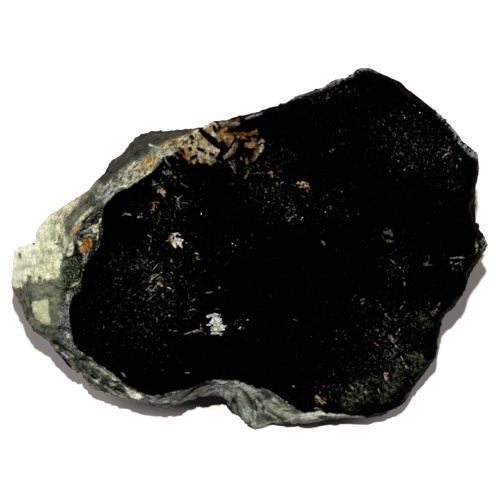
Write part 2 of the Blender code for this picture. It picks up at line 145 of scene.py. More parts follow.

# What each crust, stain, pit, painted shade, painted glow and painted highlight covers: closed areas,
# and strokes, which are a line's points and then its width. "soft" is how far an edge fades and
# "wander" how far it strays, in pixels too.
zones = {
    "haze": {"soft": 8.0, "wander": 3.0, "areas": [
        [32, 284, 44, 282, 62, 276, 64, 292, 53, 300, 38, 298]]},
    "crust": {"soft": 5.0, "wander": 2.2, "areas": [
        [5, 262, 8, 240, 33, 230, 40, 215, 47, 210, 52, 214, 56, 222, 60, 230, 60, 240, 62, 256, 61, 270,
         57, 276, 50, 281, 44, 280, 38, 277, 35, 285, 32, 284, 29, 276, 26, 283, 20, 287, 14, 287, 4, 282]]},
    "chalk": {"soft": 12.0, "wander": 4.0, "areas": [
        [0, 232, 33, 226, 40, 208, 50, 210, 44, 232, 38, 250, 36, 266, 22, 280, 0, 284]]},
    "arm": {"soft": 4.0, "wander": 2.0, "areas": [
        [40, 216, 46, 209, 56, 203, 70, 195, 82, 188, 87, 190, 81, 198, 73, 207, 67, 216, 58, 222, 52, 218]],
        "strokes": [(66, 238, 64, 252, 4.0), (62, 222, 63, 240, 4.0)]},
    "cream": {"soft": 1.6, "wander": 0.7, "areas": [
        [91, 227, 95, 224.5, 99, 224, 99.5, 228, 97, 232, 93, 233],
        [92, 207, 94, 210, 88, 217, 82, 223, 76, 226, 75, 223, 82, 216, 88, 210],
        [70, 243, 73, 240.5, 74, 246, 72.5, 256, 69, 260, 67, 254, 69, 248],
        [77.5, 241, 81, 240, 83, 242.5, 82, 245.5, 79, 245]]},
    "slate": {"soft": 3.0, "wander": 1.8, "areas": [
        [96, 196, 104, 190, 112, 184, 114, 194, 106, 203, 99, 204],
        [224, 387, 232, 387, 246, 400, 252, 412, 240, 408, 229, 400],
        [213, 385, 222, 381, 233, 384, 226, 392, 216, 391]], "strokes": [
        (93, 215, 104, 215.5, 3.0), (150, 400, 168, 402, 2.6)]},
    "moss": {"soft": 3.0, "wander": 1.4, "areas": [
        [33, 302, 42, 300, 48, 300, 49, 310, 50, 326, 44, 325, 38, 321, 33, 314]]},
    "glow": {"soft": 6.0, "wander": 1.4, "areas": [
        [266, 402, 273, 399, 284, 407, 296, 417, 285, 420, 276, 415, 268, 408]], "strokes": [
        (226, 388, 240, 404, 254, 424, 1.4), (222, 384, 232, 386, 2.0), (237, 390, 246, 402, 2.6),
        (246, 390, 258, 410, 262, 422, 1.0), (232, 388, 250, 412, 1.0)]},
    "band": {"soft": 5.0, "wander": 2.4, "areas": [
        [6, 284, 20, 287, 30, 283, 36, 297, 39, 306, 36, 316, 28, 319, 10, 308, 4, 290],
        [20, 314, 32, 320, 40, 330, 46, 341, 36, 342, 22, 330],
        [67, 222, 73, 212, 83, 202, 82, 207, 76, 212, 72, 222]]},
    "silver": {"soft": 3.0, "wander": 1.8, "areas": [
        [59, 314, 65, 300, 70, 292, 75, 294, 71, 303, 70, 330, 76, 347, 70, 350, 62, 343, 58, 332]]},
    "dusk": {"soft": 5.0, "wander": 2.6, "areas": [
        [96, 178, 107, 162, 115, 150, 127, 140, 140, 128, 170, 122, 205, 120, 203, 128, 190, 135, 175, 139,
         160, 145, 148, 152, 136, 159, 126, 167, 116, 177, 106, 186],
        [83, 201, 91, 195, 98, 190, 98, 198, 90, 204, 82, 207]]},
    "shade": {"soft": 2.4, "wander": 1.0, "areas": [
        [258, 386, 266, 388, 273, 395, 272, 400, 266, 400, 262, 396]], "strokes": [
        (258, 398, 263, 409, 5.0), (172, 399, 188, 395, 3.0), (236.5, 393, 237, 408, 2.0),
        (243, 392, 253, 409, 2.2), (228, 402, 240, 416, 253, 429, 2.0), (250, 412, 258, 424, 1.6),
        (270, 411, 284, 421, 1.6), (264, 386, 279, 396, 292, 406, 300, 412, 5.0), (262, 424, 300, 424, 2.0),
        (304, 418.5, 324, 419, 1.3), (309, 415, 312, 416, 1.6), (318, 416, 322, 417, 1.4),
        (329, 415, 332, 416, 1.3)]},
    # painted shade: these facets of the prow are painted darker than the rest of it
    "facet": {"soft": 2.6, "wander": 1.0, "areas": [
        [245, 395, 254, 397, 262, 407, 255, 411, 248, 405],
        [257, 415, 266, 413, 276, 421, 262, 425, 256, 425],
        [229, 396, 236, 396, 240, 410, 234, 410]]},
    "speckled": {"soft": 5.0, "wander": 2.6, "areas": [
        [96, 190, 110, 183, 120, 173, 130, 165, 140, 160, 150, 156, 160, 151, 170, 147, 176, 146, 174, 152,
         170, 157, 160, 168, 150, 177, 138, 184, 124, 193, 112, 200, 104, 206, 98, 200]]},
    "mottle": {"soft": 5.0, "wander": 2.6, "areas": [
        [108, 200, 98, 208, 90, 216, 80, 224, 76, 240, 74, 256, 66, 264, 63, 280, 62, 300, 70, 306, 80, 298,
         86, 290, 88, 270, 94, 258, 104, 250, 108, 233, 106, 222],
        [62, 300, 74, 298, 76, 330, 82, 352, 72, 352, 62, 340, 62, 322]]},
    "verdant": {"soft": 4.0, "wander": 2.4, "areas": [
        [65, 266, 74, 264, 80, 270, 80, 286, 74, 296, 66, 298, 64, 288, 64, 276]]},
    "shelf": {"soft": 5.0, "wander": 2.4, "areas": [
        [56, 346, 70, 352, 84, 360, 96, 368, 108, 378, 122, 388, 134, 396, 128, 404, 100, 398, 78, 380,
         60, 362]]},
    "lip": {"soft": 4.0, "wander": 2.0, "areas": [
        [140, 398, 152, 396, 166, 393, 190, 387, 206, 380, 226, 380, 224, 396, 204, 402, 176, 410, 156, 410,
         142, 406]]},
    "prow": {"soft": 4.0, "wander": 1.6, "areas": [
        [226, 384, 240, 380, 256, 388, 272, 390, 288, 402, 304, 414, 332, 416, 332, 426, 290, 430, 254, 436,
         226, 408, 220, 396]]},
    # painted shade: the cuts and pits lowered into the rind are painted near black
    "gash": {"soft": 1.8, "wander": 1.2, "areas": [
        [75, 243, 78, 244, 79, 256, 76, 258, 74, 250],
        [93, 239, 97, 242, 96, 254, 91, 256]], "strokes": [
        (11, 286, 13, 290, 2.2), (52, 342, 58, 344, 65, 350, 3.4), (57, 353, 58, 354, 3.0),
        (63, 359, 69, 367, 3.4), (80, 359, 86, 361, 2.2), (92, 376, 97, 378, 2.8),
        (102, 382, 108, 386, 3.2), (115, 389, 123, 392, 3.6), (66, 350, 75, 356, 2.4),
        (33, 242, 34, 244, 2.0), (56, 244, 58, 244, 1.8), (136, 170, 139, 170, 1.6),
        (233, 401, 235, 404, 2.6), (246, 392, 252, 404, 1.8), (254, 400, 257, 412, 1.6),
        (108, 172, 111, 172, 1.8), (19, 253, 20, 258, 1.4), (96, 218, 92, 222, 3.0),
        (100, 238, 99, 248, 3.0), (90, 255, 88, 259, 3.0), (84, 222, 88, 219, 2.6), (71, 308, 73, 328, 4.0),
        (82, 266, 80, 276, 3.0), (104, 206, 101, 210, 2.0)]},
    "tan": {"soft": 2.2, "wander": 1.0, "areas": [
        [71, 236, 71.5, 229, 75, 224.5, 80.5, 222.5, 81, 227, 77, 233, 73.5, 237]], "strokes": [
        (19, 253, 20, 256, 2.0), (63, 212, 66, 210, 1.6), (121, 397, 128, 400, 2.0),
        (71, 365, 73, 369, 1.8)]},
    "rust": {"soft": 1.8, "wander": 0.8, "areas": [
        [83, 239, 87, 237, 91, 238.5, 92, 243, 90, 247.5, 89.5, 252, 86.5, 251.5, 84.5, 248, 83.5, 244]],
        "strokes": [(147, 162, 151, 159, 2.0), (149, 166, 152, 165, 1.8)]},
    "honey": {"soft": 2.2, "wander": 1.2, "areas": [
        [144, 159, 152, 156, 156, 161, 153, 168, 146, 171]], "strokes": [
        (134, 172, 142, 166, 1.8)]},
    "amber": {"soft": 1.8, "wander": 0.8, "areas": [
        [79.5, 247, 83, 245, 85, 248, 86, 252, 83, 253.5, 80, 252.5]], "strokes": [
        (150, 160, 154, 161, 2.0), (88, 240, 90, 241, 1.4)]},
    "pale": {"soft": 1.4, "wander": 0.7, "areas": [
        [123, 386, 129, 387, 136, 391, 143, 397, 138, 400, 131, 397, 126, 392]], "strokes": [
        (84, 253.5, 83.5, 262, 0.9), (87.5, 253, 86, 262, 0.9), (95.5, 243, 95, 252, 1.2),
        (80, 222, 86, 216, 91, 211.5, 0.9), (91, 212, 97, 206, 0.8), (101, 219, 100.5, 224, 1.0),
        (97, 234, 97.5, 240, 1.0), (88, 229, 91, 227, 1.4), (60, 313, 61, 316, 2.0),
        (66, 333, 69, 338, 1.8), (104, 188, 111, 182, 1.4), (118, 188, 127, 185, 1.6),
        (67, 295, 68, 299, 2.0), (71, 287, 75, 284, 79, 282, 1.2), (62, 354, 68, 358, 1.6),
        (82, 351, 90, 358, 97, 365, 1.1), (86, 360, 98, 368, 110, 377, 1.7),
        (110, 377, 122, 385, 134, 393, 2.4), (296, 402, 301, 404, 1.6), (93, 380, 98, 383, 2.0),
        (112, 384, 116, 386, 1.4), (255, 423, 252, 425, 2.0), (239, 382, 250, 394, 261, 406, 0.8),
        (256, 412, 254, 427, 1.0), (256, 427, 272, 423, 292, 421, 1.0), (230, 386, 235, 390, 1.6),
        (270, 389, 282, 398, 300, 412, 0.7), (292, 418, 306, 416, 322, 413.5, 334, 416, 4.0),
        (300, 420, 318, 418, 1.4), (338, 416, 352, 417, 366, 419, 3.0), (150, 145, 158, 148, 1.6),
        (128, 168, 136, 162, 1.6), (36, 250, 36, 262, 1.4), (147, 174, 151, 170, 1.6),
        (40, 238, 41, 240, 2.4), (27, 243, 28, 246, 1.6), (80, 225, 84, 220.5, 90, 219, 0.8),
        (79, 230, 84, 225.5, 90, 224, 0.8), (80, 235, 85, 230.5, 90, 231.5, 0.8),
        (84, 237, 89, 234.5, 93, 236, 0.8)]},
    "fringe": {"soft": 1.8, "wander": 1.0, "areas": [
        [455, 133, 460, 139, 466, 145, 472, 149, 478, 155, 481, 160, 476, 160, 467, 153, 460, 146,
         454, 137],
        [482, 240, 485, 236, 490, 242, 488, 250, 482, 254, 481, 246]], "strokes": [
        (318, 90, 330, 85, 344, 79, 352, 75, 2.6), (358, 71, 368, 68, 377, 72, 2.6),
        (437, 114, 447, 123, 457, 136, 2.4), (290, 100, 300, 97, 1.6), (247, 117.5, 254, 116, 2.4),
        (253, 116, 261, 113.5, 1.4), (222, 120, 234, 116, 1.6), (479, 160, 479, 170, 1.6),
        # the last stroke here is a painted highlight along the lower right edge of the flat face
        (477, 242, 476, 252, 2.2), (436.5, 359, 426, 375, 418, 386, 407, 398, 0.9)]},
    "patch": {"soft": 1.6, "wander": 0.6, "areas": [
        [182, 148, 183, 139, 190, 136, 194, 131, 198, 131, 201, 134.5, 206.7, 140, 211, 144, 215, 147,
         220.4, 150.4, 219, 153, 217, 156, 215, 158, 216, 162, 211, 165, 206.7, 162.5, 201, 163.5,
         198.3, 160.4, 194, 164, 192.5, 162, 193, 157, 191, 152, 188, 149],
        [160, 148, 168, 141, 174, 138, 182, 136, 190, 134, 188, 140, 182, 146, 176, 148, 168, 148,
         164, 152],
        [203, 130, 206, 126, 210, 122, 214, 122, 218, 126, 217.5, 129, 217.5, 132, 219, 136, 217, 139,
         212.5, 136.5, 206.5, 132.5]]},
    "patchLight": {"soft": 1.4, "wander": 0.6, "areas": [
        [215, 148, 219, 148.5, 221, 151, 219, 153, 215, 152],
        [210.5, 132.5, 213, 132, 217, 136, 216, 138, 212, 136],
        [203, 127, 208, 123.5, 211, 125, 207, 129, 204, 130]], "strokes": [
        (259, 143, 261, 140.5, 264, 141.5, 1.4), (262, 146, 260, 151, 2.6), (192, 133, 198, 131, 2.4),
        (182, 147, 186, 147, 2.0), (225, 137, 228, 138, 2.4), (207, 147, 210, 150, 2.4),
        (196, 150, 200, 153, 206, 157, 212, 160, 1.8), (203, 141, 207, 146, 1.6), (178, 141, 188, 138, 1.8),
        (160, 147, 166, 144, 2.0)]},
    "patchGold": {"soft": 1.6, "wander": 0.6, "areas": [
        [217, 139, 219, 134, 221, 130.5, 226, 127, 228, 128.5, 225, 132, 227, 136, 233, 136.5, 234, 140,
         231, 144.5, 228.3, 147, 226, 144, 222.5, 140, 218.3, 142],
        [245, 143, 250, 142.5, 256, 143, 256, 147.5, 250, 148, 246, 146.5],
        [184, 148, 190, 150, 194, 156, 192, 161, 187, 159]], "strokes": [
        (238, 137, 244, 137, 1.6), (202, 133, 209, 141, 2.4), (180, 141, 187, 144, 2.6),
        (168, 142, 176, 140, 2.0)]},
    "patchRust": {"soft": 1.6, "wander": 0.7, "areas": [
        [221, 131, 225, 127.5, 229, 126, 230, 128, 226, 131, 229, 132.5, 240, 133, 252, 131.5, 257, 132,
         257, 135, 246, 135.5, 236, 135, 226, 135, 223, 134]], "strokes": [
        (229, 124, 233, 121, 238, 120, 2.4), (238, 138.5, 252, 139, 1.6),
        (256.5, 144, 257.5, 149, 255, 154, 252, 160, 2.0), (235, 146, 233, 153, 1.6),
        (176, 148, 186, 158, 2.2), (212, 140, 219, 145, 1.0), (187, 160, 192, 165, 2.4)]},
    "patchDull": {"soft": 1.5, "wander": 0.6, "areas": [
        [233.5, 143, 237, 141.5, 238, 146, 233, 152, 229.5, 156.5, 224.5, 158.5, 223.3, 156.5, 228, 151.5],
        [219, 123, 221, 121, 226, 121, 236, 122, 240, 124, 234, 127, 229, 126, 222, 127],
        [257, 150, 262.5, 146, 263, 149, 258, 156, 254.5, 161, 252.5, 162, 254, 157],
        [251.5, 131, 256, 130, 257, 133.5, 252, 134],
        [252, 139, 256, 139, 256, 141.5, 252, 142],
        [186, 133, 196, 129, 204, 126, 210, 120, 206, 120, 192, 126, 184, 130]], "strokes": [
        (232.5, 162, 234, 168, 235, 173, 0.6), (246, 160, 247, 164, 1.8), (231, 148, 234, 151, 2.0),
        (248, 172, 245, 178, 1.0), (241, 157, 242, 160, 0.7), (163, 156, 170, 166, 0.8),
        (168, 152, 178, 158, 0.9)]},
    "prism": {"soft": 1.2, "wander": 0.4, "areas": [
        [197.5, 131, 202.5, 129.7, 206.5, 132.5, 212.5, 136.5, 217, 139.2, 218.3, 142.7, 221, 141.8,
         222.5, 140, 224.5, 142, 226, 144, 228.3, 147.2, 231, 144.5, 234.2, 140, 234.2, 142.3, 232, 147,
         228, 151.5, 223.5, 156, 222, 160, 217, 159, 219, 153, 220.4, 150.4, 215, 147, 211, 144, 206.7, 140,
         201, 134.5],
        [229, 128.3, 233, 127.4, 244, 127.2, 252, 128.2, 256, 129, 255.5, 131, 248, 132, 236, 132.5,
         230, 131.5],
        [237.5, 139.5, 242, 139.8, 251, 140, 252, 141.5, 246, 143.2, 241, 143.5, 238, 142]], "strokes": [
        (198.5, 149, 203, 151, 3.6), (204.5, 153.3, 205.5, 153.5, 1.8), (210.5, 154, 213.5, 155.5, 3.0),
        (191.5, 158.5, 196, 156.5, 3.4), (190, 148, 190.5, 150, 3.4), (191, 137, 193, 138.5, 3.4),
        (191, 143.5, 194, 143, 1.8), (214, 127, 216, 131, 3.4), (184, 142, 186, 142, 1.6),
        (204, 160, 206, 160, 1.2), (198, 144, 199, 145, 1.0), (171, 144, 172, 145, 1.6),
        (182, 137, 183, 138, 1.4), (196, 162, 199, 160, 1.2), (190.5, 164, 194, 166.5, 2.4),
        (388.5, 374, 391, 379, 5.0), (398, 372, 401, 376, 2.4), (376, 386, 379, 388, 3.0),
        (364, 396, 366, 402, 2.4), (410, 368, 412, 372, 2.4)]},
    "olive": {"soft": 5.0, "wander": 4.0, "areas": [
        [404, 356, 414, 351, 424, 352, 427, 362, 420, 372, 412, 375, 406, 366],
        [381, 372, 388, 365, 398, 365, 403, 374, 401, 387, 392, 395, 384, 389],
        [353, 384, 362, 381, 373, 391, 371, 403, 360, 401],
        [341, 397, 352, 390, 361, 398, 363, 408, 350, 411, 342, 407],
        [368, 374, 379, 370, 383, 378, 377, 385, 368, 381],
        [372, 393, 384, 391, 393, 397, 381, 404],
        [136, 262, 146, 261, 147, 269, 138, 269],
        [420, 314, 432, 313, 434, 325, 424, 328]]},
    "ashen": {"soft": 3.5, "wander": 2.0, "areas": [
        [343, 398, 350, 390, 360, 392, 362, 402, 352, 408, 344, 406],
        [356, 384, 362, 382, 370, 392, 370, 399, 364, 397, 358, 390],
        [388, 352, 394, 350, 404, 362, 404, 370, 396, 368, 390, 360],
        [384, 384, 392, 378, 394, 386, 390, 394, 385, 390],
        [412, 354, 424, 352, 422, 366, 414, 370]], "strokes": [
        (426, 318, 434, 312, 440, 305, 3.0), (390, 337, 399, 348, 3.4)]},
}

# Where the rind is smooth rather than broken, in pixels
calmAreas = (
    [0, 226, 40, 205, 60, 198, 84, 184, 96, 200, 70, 236, 66, 262, 60, 300, 62, 326, 52, 332, 34, 316,
     0, 292],
    [136, 392, 160, 390, 208, 376, 240, 376, 270, 386, 300, 410, 340, 414, 340, 432, 254, 436, 226, 410,
     206, 402, 176, 412, 150, 412, 134, 404],
    [100, 176, 112, 150, 140, 126, 200, 116, 204, 130, 170, 138, 140, 158, 112, 182],
)

# Lengths are in metres, places and reaches in pixels, and the rind's sector, its fade and the height
# of its ripple in degrees; upward and wearLevel are how level a face lies, up to 1. A ripple is a
# size, a seed and a height, and edgeStray a size, a reach and a seed.
stoneShape = {
    "voxel": 0.00053, "facePull": 0.0003, "foot": 0.00012, "skinLoss": 0.0009, "creaseAngle": 38,
    "rindSector": (100, 300, 8), "sectorRipple": (0.005, 23.0, 14), "edgeStray": (0.0012, 1.5, 40.0),
    "zoneStray": 0.0011, "seedStep": 3.1, "upward": 0.05, "patchBox": (154, 116, 268, 181),
    "facets": ((0.0024, 3.3, 0.00026), (0.0010, 7.9, 0.00015), (0.00052, 2.1, 0.00008)),
    "wallFacets": ((0.0034, 1.7, 0.00024), (0.0013, 5.1, 0.00018), (0.0006, 4.4, 0.00012)),
    "calm": 0.15, "rimGain": 0.00010, "deepest": (-0.0004, 0.0006, -0.00005),
    "fanFrom": (228, 374), "fanReach": 30, "rimReach": 40, "rimRise": 0.0012, "rimFade": (0.0002, 0.0030),
    "wearSteps": 24, "wearReach": 8, "wearLevel": (0.45, 0.75), "wearFromEdge": (3, 9),
    "grit": (0.00045, 3.0, 0.00008), "rimTeeth": (0.0008, 31.0, 0.00018), "swells": (0.0016, 12.0, 0.00018),
    "crustFibres": ((0.0004, 0.0026, 0.0012), 5.0, 0.00010),
    "mottleLumps": ((0.0005, 0.0008, 0.0005), 6.0, 0.00014),
    "beds": ((0.00045, 0.0035, 0.001), 9.0, 0.00008), "fans": ((0.0006, 0.0090, 0.001), 2.0, 0.00013),
    "striae": ((0.0007, 0.0007, 0.0050), 8.0, 0.00022), "inlay": (0.0004, 2.0, 0.00003),
    "inlayDepth": 0.00004, "crustStep": 0.00005, "mossStep": 0.00010, "gashDepth": 0.00045,
    "edgeFade": 6.0, "wallRind": (0.0012, 0.0022, 0.9), "wallFrom": (0.0024, 0.0060),
    "fringeEnd": (0.0016, 0.0040),
}

# The way the rind's beds run along the black mass, in pixels
rindGuide = [
    215, 118, 165, 130, 135, 148, 110, 170, 88, 194, 72, 220, 65, 250, 61, 285, 63, 320, 76, 350, 100, 373,
    130, 394, 158, 403, 190, 394, 216, 384, 240, 398, 280, 412, 370, 420,
]

# The middle of the rim that stands off the table
rimLine = [
    112, 398, 128, 402, 148, 407, 168, 410, 190, 405, 210, 399,
]


def beddingFields(points):
    # each point's way across and along the beds, in metres, and round and away from the corner
    # that the prow fans out from, for the streaks to follow
    pixels = inPixels(points)
    corners = np.array(rindGuide, float).reshape(-1, 2)
    across = np.full(len(points), 1e9)
    along = np.zeros(len(points))
    run = 0.0
    for start, end in zip(corners, corners[1:]):
        way = end - start
        length = np.linalg.norm(way)
        share = np.clip(((pixels - start) @ way) / length ** 2, 0, 1)
        off = pixels - start - share[:, None] * way
        far = np.linalg.norm(off, axis=1)
        nearer = far < np.abs(across)
        side = np.where(way[0] * off[:, 1] > way[1] * off[:, 0], 1.0, -1.0)
        across[nearer] = (far * side)[nearer]
        along[nearer] = run + (share * length)[nearer]
        run += length
    beds = np.stack([across, along, points[:, 2] / photo["pixel"]], 1) * photo["pixel"]
    away = pixels - np.array(stoneShape["fanFrom"])
    spread = np.arctan2(away[:, 0], away[:, 1]) * stoneShape["fanReach"]
    fan = np.stack([spread, np.linalg.norm(away, axis=1), np.zeros(len(points))], 1) * photo["pixel"]
    return beds, fan


def flatPlane():
    # the flat face is the stone's widest side that leans
    sides = [p for p in cadStone.data.polygons if 0.90 < p.normal.z < 0.99]
    widest = max(sides, key=lambda p: p.area)
    return Vector(widest.center), Vector(widest.normal)


planePoint, planeNormal = flatPlane()


def overPlane(points):
    return (points - np.array(planePoint)) @ np.array(planeNormal)


def wandered(points, size, reach, seed):
    # the photo's pixels under each point, pushed about so that no outline stays smooth
    pushX = ripple(points, size, seed)
    pushY = ripple(points, size, seed + 17.3)
    return inPixels(points) + reach * np.stack([pushX, pushY], 1)


def stoneBlank():
    mesh = cadStone.data.copy()
    stone = bpy.data.objects.new("aegirineStone", mesh)
    bpy.context.scene.collection.objects.link(stone)
    useOnly(stone)
    bpy.ops.object.mode_set(mode="EDIT")
    bpy.ops.mesh.select_all(action="SELECT")
    bpy.ops.mesh.remove_doubles(threshold=0.000001)
    bpy.ops.object.mode_set(mode="OBJECT")
    stone.data.materials.clear()
    skin = stone.modifiers.new("skin", "REMESH")
    skin.mode = "VOXEL"
    skin.voxel_size = stoneShape["voxel"]
    bpy.ops.object.modifier_apply(modifier=skin.name)
    return stone


def fitStone(stone):
    # the skin rounds off sharp rims, so every point goes out along its normal to the CAD surface
    fit = stone.modifiers.new("fit", "SHRINKWRAP")
    fit.target = cadStone
    fit.wrap_method = "PROJECT"
    fit.use_negative_direction = True
    fit.use_positive_direction = True
    fit.project_limit = stoneShape["skinLoss"]
    useOnly(stone)
    bpy.ops.object.modifier_apply(modifier=fit.name)


def wearStone(stone):
    # the CAD's wide faces meet in creases, which the smooth parts of the rind don't have
    points, normals = getPoints(stone), getNormals(stone)
    pixels = inPixels(points)
    worn = np.zeros(len(points))
    for area in (calmAreas[0], calmAreas[2]):
        worn = np.maximum(worn, smoothStep(areaDepth(pixels, area), 0, stoneShape["wearReach"]))
    offEdge = smoothStep(-areaDepth(pixels, blackEdge), *stoneShape["wearFromEdge"])
    worn *= smoothStep(normals[:, 2], *stoneShape["wearLevel"]) * offEdge
    group = stone.vertex_groups.new(name="worn")
    for i in np.flatnonzero(worn > 0.01):
        group.add([int(i)], float(worn[i]), "REPLACE")
    wear = stone.modifiers.new("wear", "SMOOTH")
    wear.iterations = stoneShape["wearSteps"]
    wear.vertex_group = group.name
    useOnly(stone)
    bpy.ops.object.modifier_apply(modifier=wear.name)


def halve(stone, wanted):
    # cuts every face whose corners are all wanted into four
    mesh = stone.data
    mesh.vertices.foreach_set("select", np.zeros(len(mesh.vertices), bool))
    mesh.edges.foreach_set("select", np.zeros(len(mesh.edges), bool))
    corners = np.empty(len(mesh.loops), np.int32)
    mesh.loops.foreach_get("vertex_index", corners)
    starts = np.empty(len(mesh.polygons), np.int32)
    mesh.polygons.foreach_get("loop_start", starts)
    mesh.polygons.foreach_set("select", np.logical_and.reduceat(wanted[corners], starts))
    useOnly(stone)
    bpy.ops.object.mode_set(mode="EDIT")
    bpy.ops.mesh.select_mode(type="FACE")
    bpy.ops.mesh.subdivide(number_cuts=1)
    bpy.ops.object.mode_set(mode="OBJECT")


def refineStone(stone):
    # the rind shows most, so its mesh is twice as fine, and the inlaid patch's four times
    points, normals = getPoints(stone), getNormals(stone)
    depth = areaDepth(inPixels(points), blackEdge)
    halve(stone, (depth < 3) & (normals[:, 2] > stoneShape["upward"]) & (points[:, 2] > 0.0002))
    x0, y0, x1, y1 = stoneShape["patchBox"]
    for grow in (3, 0):
        points, normals = getPoints(stone), getNormals(stone)
        pixels = inPixels(points)
        near = (pixels[:, 0] > x0 - grow) & (pixels[:, 0] < x1 + grow)
        near &= (pixels[:, 1] > y0 - grow) & (pixels[:, 1] < y1 + grow)
        halve(stone, near & (np.abs(overPlane(points)) < 0.0004) & (normals[:, 2] > 0.5))


def zoneFields(points):
    # one value a point for each zone: 0.5 on its outline, 1 well inside, 0 well outside
    fields = {}
    for number, (name, zone) in enumerate(zones.items()):
        pixels = wandered(points, stoneShape["zoneStray"], zone["wander"], number * stoneShape["seedStep"])
        depth = np.full(len(points), -1e9)
        for area in zone["areas"]:
            depth = np.maximum(depth, areaDepth(pixels, area))
        for *line, width in zone.get("strokes", ()):
            depth = np.maximum(depth, strokeDepth(pixels, line, width))
        fields[name] = np.clip(0.5 + depth / (2 * zone["soft"]), 0, 1)
    fields["dust"] = dustField(points)
    return fields


def relief(points, name):
    # one of the ripples named above, at its own height
    size, seed, height = stoneShape[name]
    return ripple(points, size, seed) * height


def shapeStone(stone):
    points = getPoints(stone)
    normals = getNormals(stone)
    over = overPlane(points)
    depth = areaDepth(wandered(points, *stoneShape["edgeStray"]), blackEdge)
    level = normals @ np.array(planeNormal)
    onFace = (np.abs(over) < stoneShape["facePull"]) & (level > 0.8) & (depth > -4)
    onFoot = points[:, 2] < stoneShape["foot"]
    heading = np.degrees(np.arctan2(points[:, 1], points[:, 0])) % 360 + relief(points, "sectorRipple")
    low, high, fade = stoneShape["rindSector"]
    rindSide = smoothStep(heading, low - fade, low + fade)
    rindSide *= 1 - smoothStep(heading, high - fade, high + fade)
    fields = zoneFields(points)
    bedding, fan = beddingFields(points)
    print("fields done")

    # the flat face is pulled back to its plane, and the rest is broken and rippled
    points[onFace] -= over[onFace, None] * np.array(planeNormal)
    lift = np.zeros(len(points))
    rough = ~onFace & ~onFoot
    free = points[rough]
    upper = normals[rough, 2] > stoneShape["upward"]
    sideways = 1 - np.abs(normals[rough, 2])
    calm = np.zeros(len(free))
    for area in calmAreas:
        calm = np.maximum(calm, smoothStep(areaDepth(inPixels(free), area), -4, 4) * upper)
    broken = 1 - (1 - stoneShape["calm"]) * calm
    for top, wall in zip(stoneShape["facets"], stoneShape["wallFacets"]):
        lift[rough] += np.where(upper, fracture(free, *top) * broken, fracture(free, *wall))
    print("facets done")
    part = {name: values[rough] for name, values in fields.items()}
    lift[rough] += relief(free, "grit") + relief(free, "rimTeeth") * sideways
    lift[rough] += relief(free, "crustFibres") * part["crust"]
    lift[rough] += relief(free, "mottleLumps") * part["mottle"]
    lift[rough] += relief(free, "swells") * calm
    inProw = smoothStep(part["prow"], 0.3, 0.7)
    streaks = relief(bedding[rough], "beds") * (1 - inProw) + relief(fan[rough], "fans") * inProw
    lift[rough] += streaks * upper
    lift[rough] += stoneShape["crustStep"] * smoothStep(part["crust"], 0.36, 0.64)
    lift[rough] += stoneShape["mossStep"] * smoothStep(part["moss"], 0.42, 0.58)
    lift[rough] -= stoneShape["gashDepth"] * smoothStep(part["gash"], 0.35, 0.9) * upper
    lift[rough] += np.where(upper, 0.0, relief(free, "striae") * (1 - rindSide[rough]))
    deep, gain, least = stoneShape["deepest"]
    floor = np.minimum(deep + gain * sideways, least)
    lift[rough] = np.maximum(lift[rough], floor) + stoneShape["rimGain"] * sideways

    # the inlaid patch lies a little lower than the black prisms in it
    inlaid = np.maximum(np.maximum(fields["patch"], fields["patchGold"]), fields["patchDull"])
    inlaid = smoothStep(inlaid, 0.4, 0.6) * (1 - smoothStep(fields["prism"], 0.4, 0.6))
    lift[onFace] += inlaid[onFace] * (relief(points[onFace], "inlay") - stoneShape["inlayDepth"])
    points += normals * lift[:, None]

    # the rind's lower rim stands a little off the table, and its shadow shows by how much
    reach = stoneShape["rimReach"]
    hung = smoothStep(strokeDepth(inPixels(points), rimLine, reach), 0, reach / 2)
    hung *= smoothStep(-depth, 0, 8) * smoothStep(points[:, 2], *stoneShape["rimFade"])
    points[:, 2] += np.where(onFace, 0.0, hung) * stoneShape["rimRise"]
    points[:, 2] = np.maximum(points[:, 2], 0.0)
    setPoints(stone, points)

    # below the edge of the flat face the walls are plain black crystal, with rind to the left
    start, full, most = stoneShape["wallRind"]
    wallRind = rindSide * smoothStep(-over, start, full) * most
    fields["rind"] = np.maximum(np.clip(0.5 - depth / stoneShape["edgeFade"], 0, 1), wallRind)
    fields["wall"] = np.where(onFace, 0.0, 1.0) * smoothStep(-over, *stoneShape["wallFrom"])
    fields["fringe"] *= 1 - smoothStep(-over, *stoneShape["fringeEnd"])
    # painted shade: the rind is painted darker on faces that look down
    fields["under"] = smoothStep(-normals[:, 2], 0.0, 0.5)
    for name, values in fields.items():
        layer = stone.data.attributes.new(name, "FLOAT", "POINT")
        layer.data.foreach_set("value", values.astype(np.float32))
    for name, values in (("bedding", bedding), ("fan", fan)):
        layer = stone.data.attributes.new(name, "FLOAT_VECTOR", "POINT")
        layer.data.foreach_set("vector", values.astype(np.float32).ravel())
    useOnly(stone)
    bpy.ops.object.shade_smooth_by_angle(angle=math.radians(stoneShape["creaseAngle"]))


# Node helpers, so that a material reads as a list of what feeds what
def setSocket(tree, socket, value):
    if isinstance(value, bpy.types.NodeSocket):
        tree.links.new(value, socket)
    else:
        socket.default_value = value


def addNode(tree, kind, settings=None, **sockets):
    node = tree.nodes.new(kind)
    for name, value in (settings or {}).items():
        setattr(node, name, value)
    for name, value in sockets.items():
        setSocket(tree, node.inputs[name.replace("_", " ")], value)
    return node


def mixColours(tree, factor, first, second, mode="MIX"):
    node = addNode(tree, "ShaderNodeMix", {"data_type": "RGBA", "blend_type": mode})
    for socket, value in ((node.inputs[0], factor), (node.inputs[6], first), (node.inputs[7], second)):
        setSocket(tree, socket, value)
    return node.outputs[2]


